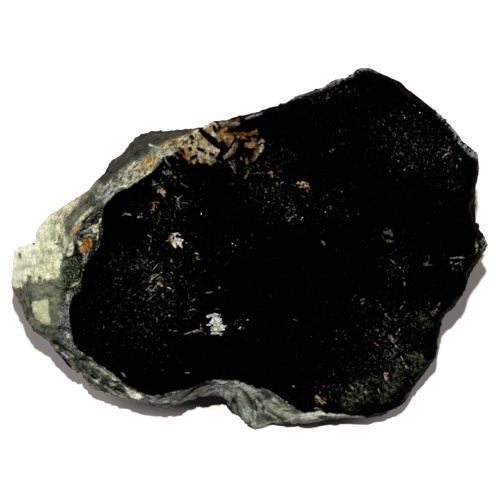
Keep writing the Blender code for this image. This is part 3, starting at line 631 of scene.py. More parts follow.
def sums(tree, operation, first, second=0.0, third=0.0):
    node = addNode(tree, "ShaderNodeMath", {"operation": operation})
    for socket, value in zip(node.inputs, (first, second, third)):
        setSocket(tree, socket, value)
    return node.outputs[0]


def ramped(tree, value, low, high):
    node = addNode(tree, "ShaderNodeMapRange", {"interpolation_type": "SMOOTHSTEP"}, Value=value,
                   From_Min=low, From_Max=high)
    return node.outputs["Result"]


def drawnOut(tree, vector, lengths, turn=0.0):
    # patterns on the result are as many times longer along each axis, turned about the vertical
    node = addNode(tree, "ShaderNodeMapping", {"vector_type": "TEXTURE"}, Vector=vector, Scale=lengths,
                   Rotation=(0.0, 0.0, turn))
    return node.outputs["Vector"]


def noiseAt(tree, vector, scale, detail, rough):
    return addNode(tree, "ShaderNodeTexNoise", Vector=vector, Scale=scale, Detail=detail,
                   Roughness=rough).outputs["Fac"]


def newGroup(name, inputs, outputs):
    group = bpy.data.node_groups.new(name, "ShaderNodeTree")
    for label, kind, value in inputs:
        socket = group.interface.new_socket(name=label, in_out="INPUT", socket_type=kind)
        if value is not None:
            socket.default_value = value
    for label, kind in outputs:
        group.interface.new_socket(name=label, in_out="OUTPUT", socket_type=kind)
    return group, group.nodes.new("NodeGroupInput").outputs, group.nodes.new("NodeGroupOutput").inputs


def raggedMaskGroup():
    # turns a soft field into a mask whose outline crumbles as the crumbs say
    group, given, result = newGroup("raggedMask", [
        ("Field", "NodeSocketFloat", 0.5), ("Crumbs", "NodeSocketFloat", 0.5),
        ("Crumble", "NodeSocketFloat", 0.5), ("Softness", "NodeSocketFloat", 0.06)],
        [("Mask", "NodeSocketFloat")])
    pushed = sums(group, "MULTIPLY", sums(group, "SUBTRACT", given["Crumbs"], 0.5), given["Crumble"])
    near = sums(group, "MINIMUM", sums(group, "MULTIPLY", given["Field"], 5.0), 1.0)
    whole = sums(group, "MULTIPLY_ADD", pushed, near, given["Field"])
    low = sums(group, "SUBTRACT", 0.5, given["Softness"])
    high = sums(group, "ADD", 0.5, given["Softness"])
    group.links.new(ramped(group, whole, low, high), result["Mask"])
    return group


def mineralToneGroup():
    # two tones of one mineral, mixed by clouds and shaded by its grain
    group, given, result = newGroup("mineralTone", [
        ("Light", "NodeSocketColor", (0.5, 0.5, 0.5, 1.0)), ("Deep", "NodeSocketColor", (0.2, 0.2, 0.2, 1.0)),
        ("Clouds", "NodeSocketFloat", 0.5), ("Middle", "NodeSocketFloat", 0.5),
        ("Contrast", "NodeSocketFloat", 3.0), ("Grain", "NodeSocketFloat", 0.5),
        ("Graininess", "NodeSocketFloat", 1.0)],
        [("Color", "NodeSocketColor")])
    offMiddle = sums(group, "SUBTRACT", given["Clouds"], given["Middle"])
    share = ramped(group, sums(group, "MULTIPLY", offMiddle, given["Contrast"]), -0.5, 0.5)
    tone = mixColours(group, share, given["Deep"], given["Light"])
    spread = sums(group, "MULTIPLY", sums(group, "SUBTRACT", given["Grain"], 0.5), given["Graininess"])
    factor = sums(group, "MAXIMUM", sums(group, "ADD", spread, 1.0), 0.05)
    tint = addNode(group, "ShaderNodeCombineColor", Red=factor, Green=factor, Blue=factor)
    group.links.new(mixColours(group, 1.0, tone, tint.outputs["Color"], "MULTIPLY"), result["Color"])
    return group


def speckleGroup():
    # scattered flecks of one size, drawn out or round as the vector is stretched
    group, given, result = newGroup("speckle", [
        ("Vector", "NodeSocketVector", None), ("Scale", "NodeSocketFloat", 2500.0),
        ("Cover", "NodeSocketFloat", 0.3), ("Softness", "NodeSocketFloat", 0.03)],
        [("Mask", "NodeSocketFloat")])
    flecks = noiseAt(group, given["Vector"], given["Scale"], 2.5, 0.62)
    low = sums(group, "SUBTRACT", 1.0, given["Cover"])
    high = sums(group, "ADD", low, given["Softness"])
    group.links.new(ramped(group, flecks, low, high), result["Mask"])
    return group


raggedMask = raggedMaskGroup()
mineralTone = mineralToneGroup()
speckle = speckleGroup()


def useGroup(tree, group, **sockets):
    node = addNode(tree, "ShaderNodeGroup", {"node_tree": group}, **sockets)
    return node.outputs[0]


def field(tree, name):
    return addNode(tree, "ShaderNodeAttribute", {"attribute_name": name}).outputs["Fac"]


def ways(tree, name):
    return addNode(tree, "ShaderNodeAttribute", {"attribute_name": name}).outputs["Vector"]


# Light and deep tone of each mineral, and of the painted glints (spark), the painted glow (glow) and the
# painted shade (shade, facet, gash and the tone for faces that look down)
tones = {
    "black": ("010101", "000000"), "dust": ("c2c4bb", "42443f"), "fibre": ("6c6f68", "2a2c28"),
    "olive": ("343a26", "070904"), "ashen": ("787c6a", "20261c"),
    "grey": ("626554", "43453a"), "crust": ("b8b99c", "868868"), "chalk": ("c0bfad", "a1a08c"),
    "haze": ("7c806a", "5c5f4d"), "honey": ("a89460", "665c38"),
    "arm": ("aaa78c", "55523e"), "moss": ("a0a585", "878c6a"), "band": ("56564c", "2c2c25"),
    "silver": ("6c6d68", "1a1b18"), "spark": ("ccccc8", "7e7e7a"), "slate": ("8e918a", "43453f"),
    "cream": ("b6b493", "75734f"), "shade": ("3d4036", "1c1e18"), "facet": ("63665a", "35372f"),
    "glow": ("a2aa92", "747b68"), "amber": ("9c7542", "6a4824"),
    "dusk": ("3a3931", "20201b"), "speckled": ("8f8f78", "3c3d33"), "mottle": ("80837a", "0c0d0a"),
    "verdant": ("687055", "10150c"), "shelf": ("6d7064", "282a24"), "lip": ("595a53", "2a2b27"),
    "prow": ("8b9085", "2c3028"), "gash": ("0e0e0b", "030303"), "tan": ("a08e6c", "6e5d40"),
    "rust": ("8c5a22", "44260c"), "pale": ("b4b4a4", "7e7e70"), "fringe": ("75776e", "0b0c09"),
    "patch": ("988c6c", "45371f"), "patchLight": ("aaa48c", "6c634b"), "patchGold": ("8f7048", "2e1c0c"),
    "patchRust": ("643a16", "1c0c04"), "patchDull": ("7a6d5e", "2a241e"), "prism": ("040404", "010101"),
    "wall": ("050605", "010101"), "onWall": ("24251e", "0e0f0b"), "under": ("24241f", "0c0c0a"),
}

# How the rind's layers go over each other: which clouds mix their two tones, where the middle
# between them lies and how sharp it is, the graininess, and how edges crumble and blur
rindLayers = (
    ("band", "beds", 0.5, 4.0, 3.0, 1.3, 0.3), ("dusk", "lines", 0.52, 3.0, 3.4, 1.3, 0.35),
    ("speckled", "drifts", 0.5, 9.0, 2.8, 1.3, 0.35), ("shelf", "beds", 0.53, 5.0, 3.2, 1.2, 0.3),
    ("lip", "lines", 0.5, 4.0, 2.4, 0.9, 0.25), ("prow", "fans", 0.48, 7.0, 3.0, 1.0, 0.25),
    ("slate", "lines", 0.5, 5.0, 3.4, 1.3, 0.35), ("glow", "fans", 0.46, 4.0, 2.2, 1.0, 0.45),
    ("arm", "beds", 0.47, 5.0, 2.6, 1.3, 0.35), ("haze", "clouds", 0.5, 3.0, 2.6, 1.3, 0.45),
    ("crust", "clumps", 0.5, 6.0, 2.2, 2.0, 0.12), ("mottle", "fine", 0.61, 6.5, 3.0, 1.4, 0.35),
    ("verdant", "fine", 0.57, 8.0, 2.4, 1.4, 0.3), ("silver", "fine", 0.5, 7.0, 3.4, 1.3, 0.4),
    ("moss", "bits", 0.48, 3.0, 1.8, 0.9, 0.16), ("cream", "bits", 0.47, 5.0, 2.4, 1.2, 0.35),
    ("shade", "fans", 0.5, 3.0, 2.6, 1.1, 0.45), ("facet", "fans", 0.5, 4.0, 2.8, 1.2, 0.4),
    ("patchGold", "blots", 0.49, 5.0, 2.4, 1.4, 0.45), ("patch", "drifts", 0.51, 9.0, 2.4, 1.4, 0.4),
    ("tan", "bits", 0.48, 4.0, 2.0, 1.1, 0.3), ("honey", "bits", 0.48, 5.0, 2.0, 1.6, 0.5),
    ("rust", "upright", 0.5, 5.0, 2.0, 0.9, 0.25), ("amber", "upright", 0.48, 4.0, 2.0, 0.9, 0.3),
    ("pale", "bits", 0.48, 4.0, 2.6, 1.2, 0.4), ("gash", "bits", 0.5, 3.0, 0.8, 0.9, 0.3),
    # painted shade on faces that look down
    ("under", "clouds", 0.5, 3.0, 2.0, 0.8, 0.3),
)

# The inlaid patch's layers, given like the rind's but all of one graininess
patchLayers = (
    ("patchDull", "bits", 0.5, 5.0, 1.4, 0.45), ("patchRust", "blots", 0.5, 6.0, 1.5, 0.5),
    ("patchGold", "blots", 0.5, 6.0, 1.6, 0.5), ("patch", "clumps", 0.51, 8.0, 1.1, 0.32),
    ("patchLight", "bits", 0.49, 5.0, 1.2, 0.4),
)

# The noises that mix tones: what they follow, how many times longer they are along each axis, their
# turn about the vertical, and their scale, detail and roughness; and the blends of them
weaves = {
    "clouds": ("place", None, 0.0, 620.0, 4.0, 0.65), "blots": ("place", None, 0.0, 1300.0, 4.0, 0.62),
    "bits": ("place", (1.0, 1.4, 1.0), -0.5, 2000.0, 4.0, 0.65),
    "downStreaks": ("place", (1.0, 4.0, 2.0), 0.10, 1900.0, 4.0, 0.65),
    "beds": ("bedding", (1.0, 4.5, 1.5), 0.0, 1900.0, 4.0, 0.66),
    "fans": ("fan", (1.0, 9.0, 1.0), 0.0, 1800.0, 4.0, 0.68),
    "fine": ("bedding", (1.0, 1.4, 1.5), 0.0, 3900.0, 3.0, 0.66),
    "lines": ("bedding", (1.0, 7.0, 1.5), 0.0, 2700.0, 4.0, 0.66),
    "upright": ("place", (1.0, 2.6, 1.0), 0.15, 2200.0, 3.0, 0.65),
}
blends = {
    "clumps": (("clouds", 0.30), ("blots", 0.25), ("downStreaks", 0.45)),
    "drifts": (("clouds", 0.25), ("beds", 0.40), ("bits", 0.35)),
}

# Scale, detail and roughness of the stone's other noises, the scales of its flecks, and its surface
stonePaint = {
    "grain": (3300.0, 3.0, 0.7), "crumbs": (2300.0, 4.0, 0.7), "gathered": (800.0, 3.0, 0.6),
    "bloom": (560.0, 4.0, 0.66), "bendScale": 420.0, "bend": (0.0016, 0.0016, 0.0),
    "fibreTurns": (-1.1, -0.2, 0.8), "fibreScale": 3600.0, "fibreLess": 0.022, "dustScale": 3900.0,
    "streakScale": 2300.0, "wallScale": 260.0, "glintScale": 3600.0, "edgeScale": 2100.0,
    "stains": (("patchGold", 900.0, 0.44), ("patchLight", 1500.0, 0.42)), "patchGraininess": 2.4,
    "specular": 0.02, "bumpStrength": 0.5, "bumpDepth": 0.00020,
}


def stoneFinish():
    material = bpy.data.materials.new("aegirineAndRind")
    material.use_nodes = True
    tree = material.node_tree
    surface = tree.nodes["Principled BSDF"]
    place = addNode(tree, "ShaderNodeTexCoord").outputs["Object"]
    bases = {"place": place, "bedding": ways(tree, "bedding"), "fan": ways(tree, "fan")}
    grain = noiseAt(tree, place, *stonePaint["grain"])
    crumbs = noiseAt(tree, place, *stonePaint["crumbs"])
    mixers = {}
    for name, (base, lengths, turn, *settings) in weaves.items():
        vector = drawnOut(tree, bases[base], lengths, turn) if lengths else bases[base]
        mixers[name] = noiseAt(tree, vector, *settings)
    for name, shares in blends.items():
        mixers[name] = 0.0
        for other, share in shares:
            mixers[name] = sums(tree, "MULTIPLY_ADD", mixers[other], share, mixers[name])

    def both(first, second):
        return sums(tree, "MULTIPLY", first, second)

    def over(factor, below, above):
        return mixColours(tree, factor, below, above)

    def mineral(name, mixer="bits", middle=0.5, contrast=3.0, graininess=1.0):
        light, deep = tones[name]
        return useGroup(tree, mineralTone, Light=linear(light), Deep=linear(deep), Clouds=mixers[mixer],
                        Middle=middle, Contrast=contrast, Grain=grain, Graininess=graininess)

    def mask(name, crumble, softness, crumbling=crumbs):
        return useGroup(tree, raggedMask, Field=field(tree, name), Crumbs=crumbling, Crumble=crumble,
                        Softness=softness)

    def flecks(vector, scale, cover, softness):
        return useGroup(tree, speckle, Vector=vector, Scale=scale, Cover=cover, Softness=softness)

    # black crystal: dust and short fibres of other minerals, thickest where the dust field is
    black = mineral("black")
    dusty = sums(tree, "SUBTRACT", field(tree, "dust"), 0.55)
    crowd = sums(tree, "MULTIPLY_ADD", mixers["blots"], 1.1, dusty)
    cover = sums(tree, "MULTIPLY_ADD", crowd, 0.11, 0.282)
    strength = ramped(tree, mixers["clouds"], 0.35, 0.70)
    for turn in stonePaint["fibreTurns"]:
        along = drawnOut(tree, place, (1.0, 4.0, 1.0), turn)
        fewer = sums(tree, "SUBTRACT", cover, stonePaint["fibreLess"])
        fibres = flecks(along, stonePaint["fibreScale"], fewer, 0.07)
        black = over(both(fibres, strength), black, mineral("fibre"))
    gathered = ramped(tree, noiseAt(tree, place, *stonePaint["gathered"]), 0.38, 0.60)
    slanted = drawnOut(tree, place, (1.0, 1.7, 1.0), -0.6)
    specks = both(flecks(slanted, stonePaint["dustScale"], cover, 0.13),
                  sums(tree, "MULTIPLY_ADD", gathered, 0.85, 0.15))
    black = over(specks, black, mineral("dust", "bits", 0.52, 6.0, 3.0))

    # a mossy bloom in places, blotched and full of holes, with paler streaks in it
    bent = addNode(tree, "ShaderNodeVectorMath", {"operation": "MULTIPLY_ADD"})
    wavy = addNode(tree, "ShaderNodeTexNoise", Vector=place, Scale=stonePaint["bendScale"], Detail=2.0)
    for socket, value in zip(bent.inputs, (wavy.outputs["Color"], stonePaint["bend"], place)):
        setSocket(tree, socket, value)
    blotches = ramped(tree, noiseAt(tree, bent.outputs["Vector"], *stonePaint["bloom"]), 0.46, 0.61)
    black = over(both(mask("olive", 1.7, 0.30), blotches), black, mineral("olive", "blots", 0.50, 5.0, 3.0))
    streaks = flecks(drawnOut(tree, place, (1.0, 3.0, 1.0), 0.7), stonePaint["streakScale"], 0.46, 0.16)
    black = over(both(mask("ashen", 1.6, 0.45), streaks), black, mineral("ashen", "bits", 0.48, 5.0, 3.0))

    # the cream and rust patch that is level with the black face, with black prisms across it
    mixed = stonePaint["patchGraininess"]
    for name, mixer, middle, contrast, crumble, softness in patchLayers:
        black = over(mask(name, crumble, softness), black, mineral(name, mixer, middle, contrast, mixed))
    for name, scale, share in stonePaint["stains"]:
        spots = both(mask("patch", 1.1, 0.32), flecks(place, scale, share, 0.10))
        black = over(both(spots, 0.7), black, mineral(name, "bits", 0.50, 5.0, mixed))
    tinge = both(mask("patchGold", 1.4, 0.45), 0.55)
    black = over(tinge, black, mineral("patchGold", "bits", 0.50, 5.0, mixed))
    black = over(mask("prism", 0.4, 0.22), black, mineral("prism"))

    # walls of cleaved black crystal with a little of the rind on them
    scraps = flecks(place, stonePaint["wallScale"], 0.42, 0.06)
    onWall = both(scraps, ramped(tree, field(tree, "wall"), 0.5, 1.0))
    wall = over(both(onWall, 0.8), mineral("wall", "clouds"), mineral("onWall", "clouds"))
    colour = over(field(tree, "wall"), black, wall)

    rind = mineral("grey", "clouds", 0.5, 4.0, 3.2)
    for name, mixer, middle, contrast, graininess, crumble, softness in rindLayers:
        tone = mineral(name, mixer, middle, contrast, graininess)
        crumbling = crumbs
        if name == "crust":
            # the crust is chalky at its outer end and runs out in fibres that hang down
            tone = over(mask("chalk", 1.0, 0.4), tone, mineral("chalk", mixer, middle, contrast, 1.0))
            crumbling = mixers["downStreaks"]
        rind = over(mask(name, crumble, softness, crumbling), rind, tone)

    # painted glints: bright specks in its silvery parts and along its edge against the black
    glints = both(flecks(place, stonePaint["glintScale"], 0.36, 0.08), mask("silver", 1.2, 0.35))
    edge = both(ramped(tree, field(tree, "rind"), 0.44, 0.54),
                sums(tree, "SUBTRACT", 1.0, ramped(tree, field(tree, "rind"), 0.62, 0.74)))
    edge = both(edge, flecks(bases["bedding"], stonePaint["edgeScale"], 0.46, 0.10))
    glints = sums(tree, "MAXIMUM", glints, both(edge, 0.85))
    rind = over(glints, rind, mineral("spark", "bits", 0.52, 5.0, 2.0))
    onRind = mask("rind", 0.9, 0.12)
    colour = over(onRind, colour, rind)
    # the fringe also carries the painted highlight along the lower right edge of the flat face
    colour = over(mask("fringe", 1.8, 0.45), colour, mineral("fringe", "blots", 0.5, 6.0, 1.8))
    tree.links.new(colour, surface.inputs["Base Color"])

    wander = sums(tree, "MULTIPLY_ADD", mixers["clouds"], 0.20, 0.25)
    tree.links.new(sums(tree, "MULTIPLY_ADD", onRind, 0.40, wander), surface.inputs["Roughness"])
    surface.inputs["Specular IOR Level"].default_value = stonePaint["specular"]

    height = both(grain, sums(tree, "MULTIPLY_ADD", onRind, 0.9, 0.1))
    bump = addNode(tree, "ShaderNodeBump", Strength=stonePaint["bumpStrength"],
                   Distance=stonePaint["bumpDepth"], Height=height)
    tree.links.new(bump.outputs["Normal"], surface.inputs["Normal"])
    return material


def buildStone():
    stone = stoneBlank()
    print("stone skin", len(stone.data.polygons))
    refineStone(stone)
    fitStone(stone)
    wearStone(stone)
    print("stone refined", len(stone.data.polygons))
    shapeStone(stone)
    stone.data.materials.append(stoneFinish())
    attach(stone, "root")
    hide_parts("aegirine_crystal")
    print("stone done", len(stone.data.polygons))


# Laths and grains of other minerals in the black face, and tiny bright grains that are painted glints: start,
# end and width, in pixels
laths = {
    # after the first eight laths of the white cluster, the small single dots in white are painted glints
    "white": [
        (173, 236, 177, 233, 2.6), (177, 234, 181, 235, 2.2), (175, 241, 181, 240, 4.4),
        (173, 244, 176, 247, 2.6), (177, 240, 180, 243, 5.2), (178, 243, 182, 247, 2.2),
        (176, 239, 181, 243, 3.4), (174, 242, 175, 247, 2.6), (189, 146, 190, 147, 1.4),
        (219, 287, 219, 289, 1.2), (247, 320, 248, 320, 1.2), (239, 329, 241, 327, 1.0),
        (293, 386, 294, 387, 1.2), (167, 287, 171, 289, 1.0), (186, 243, 187, 243, 1.0),
        (169, 315, 170, 316, 1.0)],
    # painted glints: tiny near-white grains where the face catches the light
    "glint": [
        (302, 218, 302.4, 217.6, 0.8), (301, 219.4, 301.3, 219.6, 0.6), (201.2, 214, 201.5, 213.7, 0.9),
        (232.3, 243.5, 232.6, 243.8, 0.9), (235.6, 245.4, 235.8, 245.4, 0.5), (400, 267.6, 400, 268, 0.8),
        (399.6, 329.2, 399.9, 329.2, 0.9), (325.3, 212, 325.6, 212, 0.7), (330, 206.4, 330, 206.6, 0.6),
        (404, 118, 404.3, 118, 0.6), (419, 113, 419.3, 113.2, 0.7), (404, 170, 404.2, 170, 0.7)],
    "frost": [
        (207, 317, 212, 315, 2.6), (212, 315, 217, 315, 3.4), (213, 318, 219, 319, 5.0),
        (211, 321, 218, 323, 5.0), (215, 325, 224, 326, 4.2), (222, 327, 226, 326, 1.8),
        (214, 329, 222, 330, 5.2), (212, 333, 221, 334, 3.2), (207, 325, 210, 325, 2.0),
        (213, 327, 215, 332, 3.2), (221, 314, 219, 317, 1.1), (219, 321, 222, 327, 3.0)],
    "dull": [
        (184, 334.5, 193, 331.5, 1.0), (193, 331.5, 199, 331, 2.6), (198, 331, 203, 331.5, 2.0),
        (203, 332, 207, 334.5, 1.1), (200.5, 324, 201, 330, 0.9), (181, 319.5, 188, 318.5, 0.9),
        (389, 336, 393, 339, 2.0), (391, 340, 394, 343, 2.0), (395, 344, 397, 348, 2.2),
        (437, 306, 440, 303, 2.2), (434, 314, 437, 309, 1.6), (317, 408, 321, 410, 1.6),
        (441, 148, 446, 151, 1.8), (456, 164, 457, 168, 1.4), (447, 149, 450, 147, 2.6),
        (443, 157, 447, 154, 2.2)],
    "needle": [
        (150, 293, 157, 285, 0.9), (156, 286, 163.5, 276, 0.8), (150, 280, 158, 274.5, 1.2),
        (150, 298, 156, 294, 0.8), (146, 290, 151, 286, 0.7), (152, 271, 158, 264, 0.6),
        (147, 301, 152, 297, 0.7), (192.5, 301.5, 194.5, 299, 1.0), (197, 259, 201.5, 259.5, 0.7),
        (161, 297.5, 164.5, 296.5, 1.1), (180, 277, 183, 275.5, 1.0), (228, 160, 233, 170, 0.6)],
    "tan": [
        (169, 241, 171, 236, 2.5), (171, 237, 175, 234, 3), (170, 238, 173, 242, 3),
        (166, 241, 169, 241, 1.2), (296, 184, 300, 182, 2.4), (300, 183, 306, 184, 3),
        (303, 187, 308, 186, 4.5), (306, 190, 308, 192, 2), (299, 187, 302, 187, 2),
        (302, 181, 303, 182, 1), (153, 208, 154, 211, 4), (156, 202, 159, 203, 1),
        (158, 190, 162, 192, 4.2), (161, 190, 165, 192, 3.2), (162, 193, 164, 196, 2.4),
        (385, 373, 387, 380, 3.4), (389, 373, 386, 375, 1.6), (317, 397, 320, 400, 4.0),
        (320, 401, 324, 403, 4.6), (320, 391, 320, 394, 1), (271, 172, 272, 176, 2.4),
        (268, 173, 272, 174, 1.6), (173, 177, 178, 178, 1.6), (158, 282, 162, 286, 3.0),
        (161, 281, 162, 287, 1.6), (314, 409, 318, 408, 1.6), (401, 356, 403, 360, 1.8),
        (458, 158, 461, 160, 1.6)],
    "rust": [
        (150, 203, 156, 203, 1.3), (154, 204, 154, 207, 3), (300, 184, 303, 187, 1.6),
        (376, 345, 380, 346, 2.6), (374, 342, 376, 344, 1.6), (169, 240, 172, 244, 1.2),
        (201, 327, 204, 330, 1.4), (387, 376, 389, 380, 2.0), (155, 286, 158, 289, 1.4),
        (323, 398, 326, 400, 1.4), (273, 175, 277, 177, 1.2), (158, 187, 161, 187, 1.4),
        (390, 334, 392, 336, 1.2), (440, 309, 437, 313, 1.2)],
    "grey": [
        (152, 185, 158, 184, 1.8), (153, 183, 155, 182, 1.5), (157, 186, 160, 188, 2),
        (160, 184, 165, 182, 1.6), (161, 178, 161, 181, 1), (285, 208, 289, 207, 1.6),
        (290, 208, 289, 213, 1.8), (288, 217, 292, 219, 2.6), (288, 221, 290, 220, 1.6),
        (292, 217, 296, 215, 1.6), (294, 207, 294, 208, 1), (450, 258, 456, 258, 1.6),
        (457, 257, 464, 258, 1.8), (461, 261, 461, 265, 1.8), (451, 262, 451, 264, 1.4),
        (455, 264, 459, 263, 1.2), (453, 268, 453, 270, 1.2), (163, 172, 166, 174, 2.2),
        (166, 173, 171, 174, 3), (167, 171, 169, 171, 1.4), (174, 196, 177, 198, 1.6),
        (177, 198, 180, 198, 2), (180, 197, 182, 196, 1.4), (178, 199, 178, 203, 2),
        (180, 203, 187, 203, 0.9), (179, 204, 179, 208, 1.2), (148, 235, 151, 237, 1.4),
        (151, 237, 151, 246, 0.9), (150, 246, 149, 251, 0.9), (150, 277, 156, 274, 1.2),
        (149, 284, 151, 280, 1.4), (157, 279, 161, 277, 1.4), (148, 290, 154, 291, 2),
        (150, 293, 152, 295, 1.2), (161, 296, 164, 293, 2), (168, 287, 170, 291, 1.4),
        (172, 292, 174, 290, 1.2), (195, 253, 198, 254, 1.8), (171, 259, 172, 262, 1.4),
        (171, 272, 173, 274, 1.8), (185, 373, 189, 373, 1.6), (122, 373, 125, 377, 2.4),
        (329, 150, 332, 153, 1.6), (332, 149, 334, 151, 1.4), (322, 241, 324, 244, 2.4),
        (359, 300, 366, 299, 1.2), (361, 302, 364, 304, 2.4), (375, 329, 379, 331, 2.0),
        (385, 314, 388, 317, 1.4), (388, 317, 391, 320, 1.2), (276, 182, 278, 186, 1.4),
        (280, 184, 283, 182, 1.2), (259, 172, 260, 174, 1.6), (261, 172, 264, 173, 1.2),
        (205, 293, 212, 292, 1.2), (188, 311, 193, 309, 1.0), (193, 309, 197, 311, 1.0),
        (181, 184, 188, 187, 1.4), (230, 161, 234, 172, 0.9), (404, 282, 405, 286, 1.4),
        (390, 259, 395, 264, 1.0), (396, 334, 400, 330, 1.2), (400, 349, 404, 350, 1.0),
        (169, 330, 171, 330, 1.2), (173, 331, 177, 331, 0.9), (406, 366, 407, 368, 1.6),
        (378, 388, 380, 394, 1.2), (350, 385, 354, 390, 1.6), (137, 217, 140, 217, 2.4),
        (141, 215, 142, 213, 1.0), (121, 217, 126, 213, 1.4), (126, 214, 131, 215, 1.6),
        (163, 157, 170, 166, 1.0), (219, 289, 220, 286, 1.2), (405, 304, 399, 310, 1.0),
        (293, 319, 297, 321, 1.6)],
    "green": [
        (386, 232, 390, 235, 5.0), (388, 230, 391, 232, 3.0), (384, 240, 393, 241, 2.0),
        (386, 241, 391, 242, 2), (381, 235, 384, 239, 1), (429, 256, 429, 259, 1.4),
        (427, 261, 428, 263, 2.2), (424, 264, 428, 265, 2.8), (430, 265, 432, 265, 1.2),
        (388, 371, 392, 369, 1.2), (389, 382, 391, 385, 2.0), (415, 360, 415, 366, 1.8),
        (361, 386, 363, 392, 1.6), (366, 389, 368, 394, 1.2), (350, 399, 356, 402, 1.6),
        (370, 375, 374, 373, 1.2), (376, 379, 379, 381, 1.4), (422, 319, 428, 318, 1.2),
        (424, 323, 427, 325, 1.2), (405, 354, 409, 356, 1.2), (399, 358, 399, 364, 1.2),
        (388, 128, 391, 132, 1.2), (404, 133, 405, 137, 1.0), (392, 350, 395, 353, 1.2),
        (410, 380, 412, 384, 1.0)],
}

# Crowds of small flecks: middle, reach, how dusty, how many grains, kind, longest and widest, in pixels
crowds = (
    (154, 276, 26, 26, 1.0, 34, "dim", 4.0, 1.2), (120, 318, 40, 40, 0.6, 16, "dim", 3.0, 1.0),
    (158, 312, 26, 20, 0.7, 14, "dim", 3.0, 1.1), (118, 265, 20, 22, 0.6, 8, "dim", 3.0, 1.0),
    (160, 340, 35, 25, 0.3, 8, "dim", 3.0, 1.2), (160, 225, 22, 22, 0.7, 14, "dim", 3.0, 1.2),
    (180, 205, 24, 20, 0.6, 12, "dim", 3.5, 1.2), (172, 176, 20, 14, 0.8, 12, "dim", 4.0, 1.3),
    (270, 192, 34, 24, 0.9, 22, "dim", 3.0, 1.1), (250, 166, 26, 14, 0.6, 14, "dim", 4.0, 1.1),
    (276, 150, 20, 16, 0.5, 6, "dim", 3.0, 1.1), (332, 205, 30, 20, 0.5, 14, "dim", 2.4, 1.1),
    (350, 130, 40, 38, 0.25, 8, "dim", 3.0, 1.1), (405, 146, 30, 26, 0.8, 20, "dim", 3.5, 1.2),
    (412, 162, 16, 10, 0.7, 14, "dim", 3.0, 1.1), (440, 150, 22, 26, 0.9, 20, "dim", 3.0, 1.2),
    (455, 180, 18, 30, 0.4, 12, "dim", 3.0, 1.1), (405, 118, 26, 16, 0.5, 10, "dim", 3.0, 1.1),
    (398, 268, 18, 26, 0.7, 18, "dim", 2.6, 1.0), (400, 318, 34, 20, 0.7, 24, "dim", 4.0, 1.2),
    (425, 322, 14, 14, 0.9, 4, "mossy", 3.5, 1.3), (386, 376, 42, 22, 0.9, 10, "mossy", 3.0, 1.4),
    (352, 392, 24, 14, 0.9, 6, "mossy", 3.0, 1.4), (410, 366, 18, 16, 0.9, 4, "mossy", 3.0, 1.4),
    (388, 346, 26, 22, 0.9, 20, "dim", 4.5, 1.4), (340, 352, 45, 36, 0.3, 12, "dim", 3.0, 1.2),
    (240, 326, 10, 9, 0.5, 14, "dim", 2.0, 1.0), (195, 262, 24, 30, 0.5, 12, "dim", 3.5, 1.2),
    (290, 212, 14, 14, 0.6, 12, "dim", 3.0, 1.2), (236, 240, 22, 16, 0.3, 6, "dim", 3.0, 1.2),
    (456, 262, 12, 10, 0.7, 10, "dim", 2.4, 1.2), (325, 395, 24, 14, 0.7, 16, "dim", 3.5, 1.3),
    (362, 300, 16, 14, 0.5, 6, "dim", 3.0, 1.2), (165, 362, 24, 10, 0.2, 6, "dim", 2.0, 1.0),
    (330, 92, 30, 10, 0.6, 10, "dim", 2.6, 1.1), (140, 265, 16, 12, 0.8, 4, "mossy", 4.0, 1.2),
    (188, 305, 20, 20, 0.5, 8, "dim", 4.0, 1.1), (300, 98, 40, 8, 0.4, 6, "dim", 3.0, 1.1),
)


def dustField(points):
    # how dusty the black face is at each point, from none to 1
    pixels = inPixels(points)
    clear = np.ones(len(points))
    for cx, cy, reachX, reachY, dusty, *_ in crowds:
        far = ((pixels[:, 0] - cx) / reachX) ** 2 + ((pixels[:, 1] - cy) / reachY) ** 2
        clear *= 1 - dusty * np.exp(-far)
    return 1 - clear


# What each kind of grain is made of: its two tones; the glint kind's tones are a painted glint
grainTones = {
    "white": ("c9c5b4", "86816f"), "frost": ("bdc0b5", "7a7d74"), "dull": ("85766a", "2c2622"),
    "needle": ("8e8d78", "26261e"), "tan": ("947c5e", "443524"), "rust": ("6a4629", "2b1b10"),
    "grey": ("74776f", "262824"), "green": ("40483c", "191e16"), "dim": ("4c4f49", "1c1e1b"),
    "mossy": ("474d3c", "191c13"), "glint": ("f4f4f0", "d0d0ca"),
}

# How the grains stand and tilt in the face, how their blanks are cut, and how crumbs and crowds are
# strewn; pairs are the least and the most, and the two clearances are in pixels
grainShape = {
    "seed": 41, "kinds": 6, "corners": 11, "ragged": 0.30, "bevel": 0.12, "thick": 0.00020,
    "proud": 0.00003, "proudBy": (0.5, 1.6), "overrun": 0.8, "tilt": 0.3,
    "perCrumb": 7, "crumbSize": (0.25, 0.5), "crumbWidth": (0.6, 1.0),
    "crowdSpread": 0.5, "crowdGain": 1.3, "crowdLength": (0.15, 1.0), "crowdBias": 1.6,
    "crowdWidth": (0.35, 0.9), "clearOfRind": 3, "clearOfRim": 1.5,
}

# Scale, detail and roughness of the grains' noises, and their finish
grainPaint = {
    "bits": (1900.0, 4.0, 0.65), "grain": (3600.0, 3.0, 0.7), "contrast": 7.0, "graininess": 2.4,
    "specular": 0.1, "bumpStrength": 0.4, "bumpDepth": 0.0001,
}


